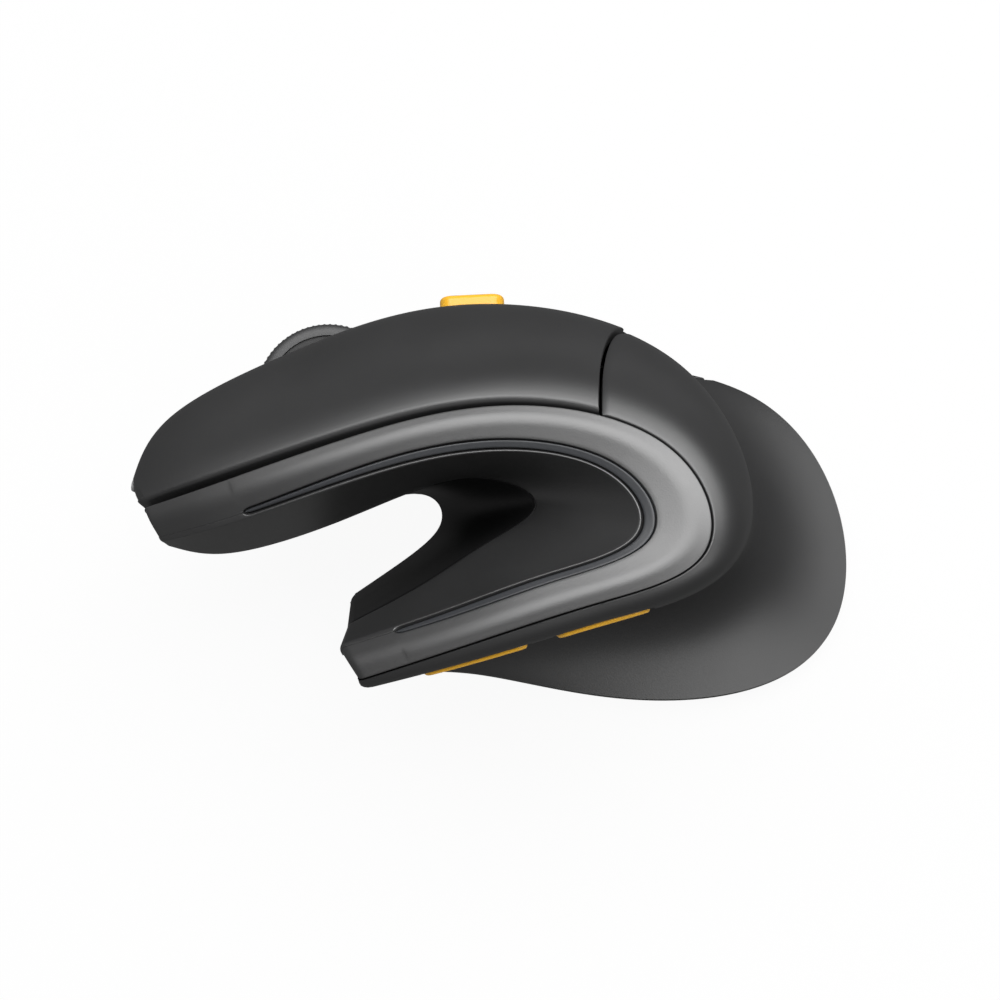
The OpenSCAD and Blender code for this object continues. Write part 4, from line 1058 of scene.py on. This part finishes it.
@dataclass
class RidgeCover:
    """Satin horseshoe band with a soft fold, the groove for the inlay, and the scoop below it."""

    layout: Layout
    inlay: Inlay
    edge: float = 0.22
    fold_rise: float = 0.30
    fold_at: tuple[float, ...] = (0, 2, 3.5, 4.5, 6, 8)
    fold_share: tuple[float, ...] = (0.5, 0.5, 0.42, 0.36, 0.42, 0.5)
    fold_round: float = 1.5
    hem: float = 1.0
    closed: float = 0.02
    slant: float = 0.12
    open_half: float = 0.3
    nose_roll: float = 1.2
    tip_roll: float = 1.7
    ledge: Triple = (2.6, 3.4, 3.4)
    ledge_first: float = 0.12
    ledge_roll: float = 0.2
    ledge_steps: Steps = (80, 4)

    def end_steps(self) -> Pair:
        """Steps of u that cover a millimetre at the nose and at the tip."""
        near, skin = Skin.PROBE, self.layout.skin
        return float(skin.u_step(near, -0.5, 1.0)), float(skin.u_step(Skin.TIP - near, -0.5, 1.0))

    def stations(self) -> Array:
        """Stations along the cover, close together at the rolled ends and the groove's ends."""
        turn = 1 - np.cos(np.linspace(0, QUARTER, 7))
        nose, tip = (roll * turn * step
                     for roll, step in zip((self.nose_roll, self.tip_roll), self.end_steps()))
        groove = self.inlay.stations()
        before = np.linspace(nose[-1], groove[0], 26)[1:-1]
        after = np.linspace(groove[-1], Skin.TIP - tip[-1], 14)[1:-1]
        return np.concatenate([nose, before, groove, after, Skin.TIP - tip[::-1]])

    def under_button(self) -> Solid:
        """Ledge of the cover that closes the gap below the left button."""
        lay = self.layout
        top, under, reach = self.ledge
        return Panel(lay.skin, level(self.ledge_first), level(lay.seam_at), np.zeros_like,
                     lambda u: lay.from_ridge(u, reach), -top, under, (self.ledge_roll,) * 4, 0.0,
                     self.ledge_steps).solid()

    def build(self) -> None:
        """Sweep the section of the cover along the horseshoe."""
        skin, inlay, lay = self.layout.skin, self.inlay, self.layout
        u = self.stations()
        inside = (u >= inlay.first) & (u <= inlay.last)
        span = inlay.span(u)
        mid = (inlay.ledge + span) / 2
        half = np.where(inside, (span - inlay.ledge) / 2 * inlay.openness(u), 0.0)
        half = np.maximum(half, self.closed)
        full = np.minimum(1.0, half / self.open_half)
        deep, slant = inlay.groove * full, self.slant * full
        near, far = mid - half, mid + half

        def at(v: Array, depth: float) -> Array:
            """Section corner at place v and a depth below the skin."""
            return np.column_stack([skin.point(u, v) - depth * skin.facing(u, v), v])

        probe = 0.1
        crease = Edges.CREASE + skin.v_step(u, np.full_like(u, Edges.CREASE + probe), lay.seam / 2)
        ridge = -skin.v_step(u, np.full_like(u, -probe), lay.seam / 2)
        size = np.linalg.norm(skin.line("ridge", u) - skin.line("lip", u), axis=-1)
        fold = blend(size, far, np.interp(u, self.fold_at, self.fold_share))
        corners = [at(crease, self.hem), at(crease, 0.0), at(np.full_like(u, Edges.LIP), 0.0),
                   inlay.corner(u, near, 0.0), inlay.corner(u, near + slant, deep),
                   inlay.corner(u, far - slant, deep), inlay.corner(u, far, 0.0),
                   inlay.corner(u, fold, -self.fold_rise), at(ridge, 0.0), at(ridge, self.hem)]
        radii = (0.4, 0.3, 0.16, 0.1, 0.1, 0.2, self.fold_round, self.edge)
        bends = (4, 4, 3, 2, 2, 3, 8, 4)
        runs = (0, 12, 0, 0, 2, 0, 4, 4, 0)
        section = sweep_profile(corners, radii, bends, runs)
        v = section[..., 3]
        face = skin.facing(u[:, None], v)
        nose, tip = self.end_steps()
        depth = np.maximum(roll_depth(u / nose, self.nose_roll),
                           roll_depth((Skin.TIP - u) / tip, self.tip_roll))
        outer = section[..., :3] - depth[:, None, None] * face
        inner = skin.point(u[:, None], v) - lay.wall * face
        solid = grid_solid(outer, inner).joined(self.under_button())
        # Its finish is lighter than the shell: painted light on the band and the scoop.
        add_piece("ridge_band", solid, Finishes.BAND, Body.HOUSING, "ridge_cover", sharp=BAND_SHARP)


@dataclass
class BayWall:
    """Steep wall round the open bay between the arms."""

    layout: Layout
    rolls: Rolls = (0.8, 1.2, 0.0, 0.4)
    probe: float = -2.1
    steps: Steps = (200, 12)

    def build(self) -> None:
        """Make the wall with a rolled upper edge."""
        lay, skin = self.layout, self.layout.skin
        wall = Panel(skin, np.zeros_like, level(Skin.TIP), level(Edges.BAY),
                     lambda u: Edges.CREASE - skin.v_step(u, np.full_like(u, self.probe), lay.seam / 2),
                     0.0, lay.wall, self.rolls, 0.0, self.steps)
        # Its finish is darker than the shell: painted shade inside the bay.
        add_piece("bay_wall", wall.solid(), Finishes.BAY, Body.HOUSING, "bay_liner")


@dataclass
class Wheel:
    """Ribbed rubber tyre of the scroll wheel."""

    layout: Layout
    diameter: float = 25.0
    width: float = 6.4
    proud: float = 3.8
    tyre: float = 2.4
    crown: float = 0.7
    ribs: int = 80
    rib_depth: float = 0.24
    rib_steps: int = 8
    rib_wave: Pair = (0.5, 0.9)
    side_ring: float = 0.72
    ring_fade: float = 0.08
    side_roll: float = 0.9
    profile_points: int = 27

    def build(self) -> None:
        """Turn the tyre with rounded cross ribs."""
        lay = self.layout
        r, half = self.diameter / 2, self.width / 2
        turns = self.ribs * self.rib_steps
        angle = np.linspace(0, 2 * math.pi, turns, endpoint=False)
        z = np.linspace(-1, 1, self.profile_points)
        base, gain = self.rib_wave
        wave = np.clip(base + gain * np.cos(angle * self.ribs), 0, 1)
        edge = roll_depth((1 - np.abs(z)) * half, self.side_roll)
        cut = self.rib_depth * np.clip((self.side_ring - np.abs(z)) / self.ring_fade, 0, 1)
        tread = (r - self.crown * z ** 2 - edge)[None, :] - (1 - wave)[:, None] * cut[None, :]
        radius = np.concatenate([tread, np.full((turns, 2), r - self.tyre)], 1)
        height = np.concatenate([z * half, [half, -half]])
        ring = np.stack([radius * np.cos(angle)[:, None], height[None, :] + 0 * radius,
                         radius * np.sin(angle)[:, None]], -1)
        count = ring.shape[1]
        faces = []
        for i in range(turns):
            a, b = i * count, (i + 1) % turns * count
            for j in range(count):
                n = (j + 1) % count
                faces.append((a + j, a + n, b + n, b + j))
        seat = lay.skin.seat(lay.wheel_at, lay.strip_at)
        axle = seat @ Matrix.Translation((0, 0, self.proud - r))
        solid = Solid(ring.reshape(-1, 3), faces).moved(axle)
        add_piece("ribbed_tyre", solid, Finishes.TYRE, Body.WHEEL, "wheel_tyre", sharp=BAND_SHARP)


@dataclass
class Insides:
    """CAD pieces that keep their shape and get a finish."""

    dress_list: dict[Finishes, tuple[str, ...]] = field(default_factory=lambda: {
        Finishes.SHELL: ("base_plate", "beak_floor", "nose_cap", "thumb_cap"),
        Finishes.HUB: ("wheel_hub",),
        Finishes.STEEL: ("wheel_axle", "case_screws", "board_screws", "thumb_screws", "usb_socket",
                         "power_switch"),
        Finishes.CHASSIS: ("wheel_cradle", "finger_chassis", "battery_tray"),
        Finishes.BOARD: ("finger_board", "thumb_board", "main_board", "charge_board"),
        Finishes.SWITCH: ("left_switch", "right_switch", "wheel_switch", "speed_switch",
                          "forward_switch", "back_switch", "motion_sensor"),
        Finishes.ENCODER: ("wheel_encoder",),
        Finishes.FOIL: ("battery_cell",),
        Finishes.LENS: ("sensor_lens",),
        Finishes.GLIDE: ("glide_feet", "power_slider"),
    })

    def dress(self) -> None:
        """Give every kept CAD piece its finish."""
        for finish, names in self.dress_list.items():
            for name in names:
                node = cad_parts[name]
                node.data.materials.clear()
                node.data.materials.append(finish.value.material())
                LOG.info("%s: kept from the frame, %s", name, finish.value.name)


@dataclass
class Lamp:
    """A softbox whose long side runs along the mouse."""

    name: str
    towards: Triple
    distance: float
    size: Pair
    watts: float

    def build(self, aim: Vector) -> None:
        """Hang the lamp and turn it to the mouse."""
        data = bpy.data.lights.new(self.name, "AREA")
        data.energy = self.watts
        data.shape = "RECTANGLE"
        data.size, data.size_y = self.size
        lamp = bpy.data.objects.new(self.name, data)
        way = Vector(self.towards).normalized()
        lamp.location = aim + way * self.distance
        side = (Vector((0, 1, 0)) - way * way.y).normalized()
        lamp.rotation_euler = Matrix((side, way.cross(side), way)).transposed().to_euler()
        bpy.context.scene.collection.objects.link(lamp)


@dataclass
class Studio:
    """Camera, pale floor and soft light."""

    aim: Triple = (-0.6, 2.06, 35.0)
    azimuth: float = 253.0
    elevation: float = 72.0
    distance: float = 300.0
    sensor: float = 36.0
    lens: float = 64.8
    nearest: float = 0.01
    ambient: float = 0.05
    sky_shine: float = 0.10
    floor_shine: float = 0.14
    floor_size: float = 3.0
    floor_white: float = 0.94
    floor_tones: Pair = (0.72, 0.78)
    floor_grain: float = 400.0
    lamps: tuple[Lamp, ...] = (
        Lamp("overhead_softbox", (0.30, -0.17, 0.94), 0.75, (1.25, 0.65), 10.2),
        Lamp("side_softbox", (-0.65, -0.20, 0.73), 0.80, (0.6, 0.6), 1.9),
    )

    def build(self) -> None:
        """Set up everything round the mouse."""
        scene = bpy.context.scene
        scene.view_settings.view_transform = "Standard"
        aim = Vector(self.aim) * MM
        a, e = math.radians(self.azimuth), math.radians(self.elevation)
        way = Vector((math.sin(a) * math.cos(e), -math.cos(a) * math.cos(e), math.sin(e)))
        data = bpy.data.cameras.new("camera")
        data.sensor_width = self.sensor
        data.lens = self.lens
        data.clip_start = self.nearest
        camera = bpy.data.objects.new("camera", data)
        camera.location = aim + way * self.distance * MM
        camera.rotation_euler = way.to_track_quat("Z", "Y").to_euler()
        scene.collection.objects.link(camera)
        scene.camera = camera
        for lamp in self.lamps:
            lamp.build(aim)
        self.floor()
        self.world()

    def floor(self) -> None:
        """Lay the pale floor, white to the eye and grey only where the mouse shades it."""
        half = self.floor_size / 2
        mesh = bpy.data.meshes.new("floor")
        corners = [(-half, -half, 0), (half, -half, 0), (half, half, 0), (-half, half, 0)]
        mesh.from_pydata(corners, [], [(0, 1, 2, 3)])
        made = bpy.data.materials.new("pale_floor")
        made.use_nodes = True
        g = Graph(made.node_tree)
        grain = g.noise(g.add("ShaderNodeTexCoord", {}, {}, "Object"), self.floor_grain, 2.0)
        dark, light = ((tone,) * 3 for tone in self.floor_tones)
        matt = g.add("ShaderNodeBsdfDiffuse", {}, {"Color": g.mix(grain, dark, light)})
        white = g.add("ShaderNodeEmission", {}, {"Color": self.seen(g, self.floor_shine)})
        share = self.seen(g, 1 / self.floor_white) * self.floor_white
        both = g.add("ShaderNodeMixShader", {}, {0: share, 1: matt, 2: white})
        g.node("ShaderNodeOutputMaterial", {}, {0: both})
        mesh.materials.append(made)
        floor = bpy.data.objects.new("floor", mesh)
        bpy.context.scene.collection.objects.link(floor)

    def world(self) -> None:
        """Surround the mouse with white that lights it softly."""
        world = bpy.data.worlds.new("studio")
        bpy.context.scene.world = world
        world.use_nodes = True
        g = Graph(world.node_tree)
        strength = self.seen(g, self.sky_shine) * (1.0 - self.ambient) + self.ambient
        sky = g.add("ShaderNodeBackground", {}, {"Color": strength})
        g.node("ShaderNodeOutputWorld", {}, {0: sky})

    @staticmethod
    def seen(g: Graph, shine: float) -> Signal:
        """One for rays from the eye or through glass, and a given share for rays off a gloss."""
        path = g.node("ShaderNodeLightPath", {}, {})
        eye, gloss, glass = (Signal(g, path.outputs[name]) for name in
                             ("Is Camera Ray", "Is Glossy Ray", "Is Transmission Ray"))
        return eye + glass + gloss * shine


def main() -> None:
    """Build the mouse and its studio."""
    logging.basicConfig(level=logging.INFO, format="%(message)s")
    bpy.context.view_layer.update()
    skin = Skin(Rails())
    layout = Layout(skin)
    inlay = Inlay(skin)
    thumbs, speed = ThumbButtons(layout), SpeedButton(layout)
    for part in (RidgeCover(layout, inlay), inlay, ClickButtons(layout), CentreStrip(layout, speed),
                 speed, PalmCover(layout, thumbs), thumbs, BayWall(layout), Wheel(layout)):
        part.build()
    Insides().dress()
    Studio().build()


if __name__ == "__main__":
    main()
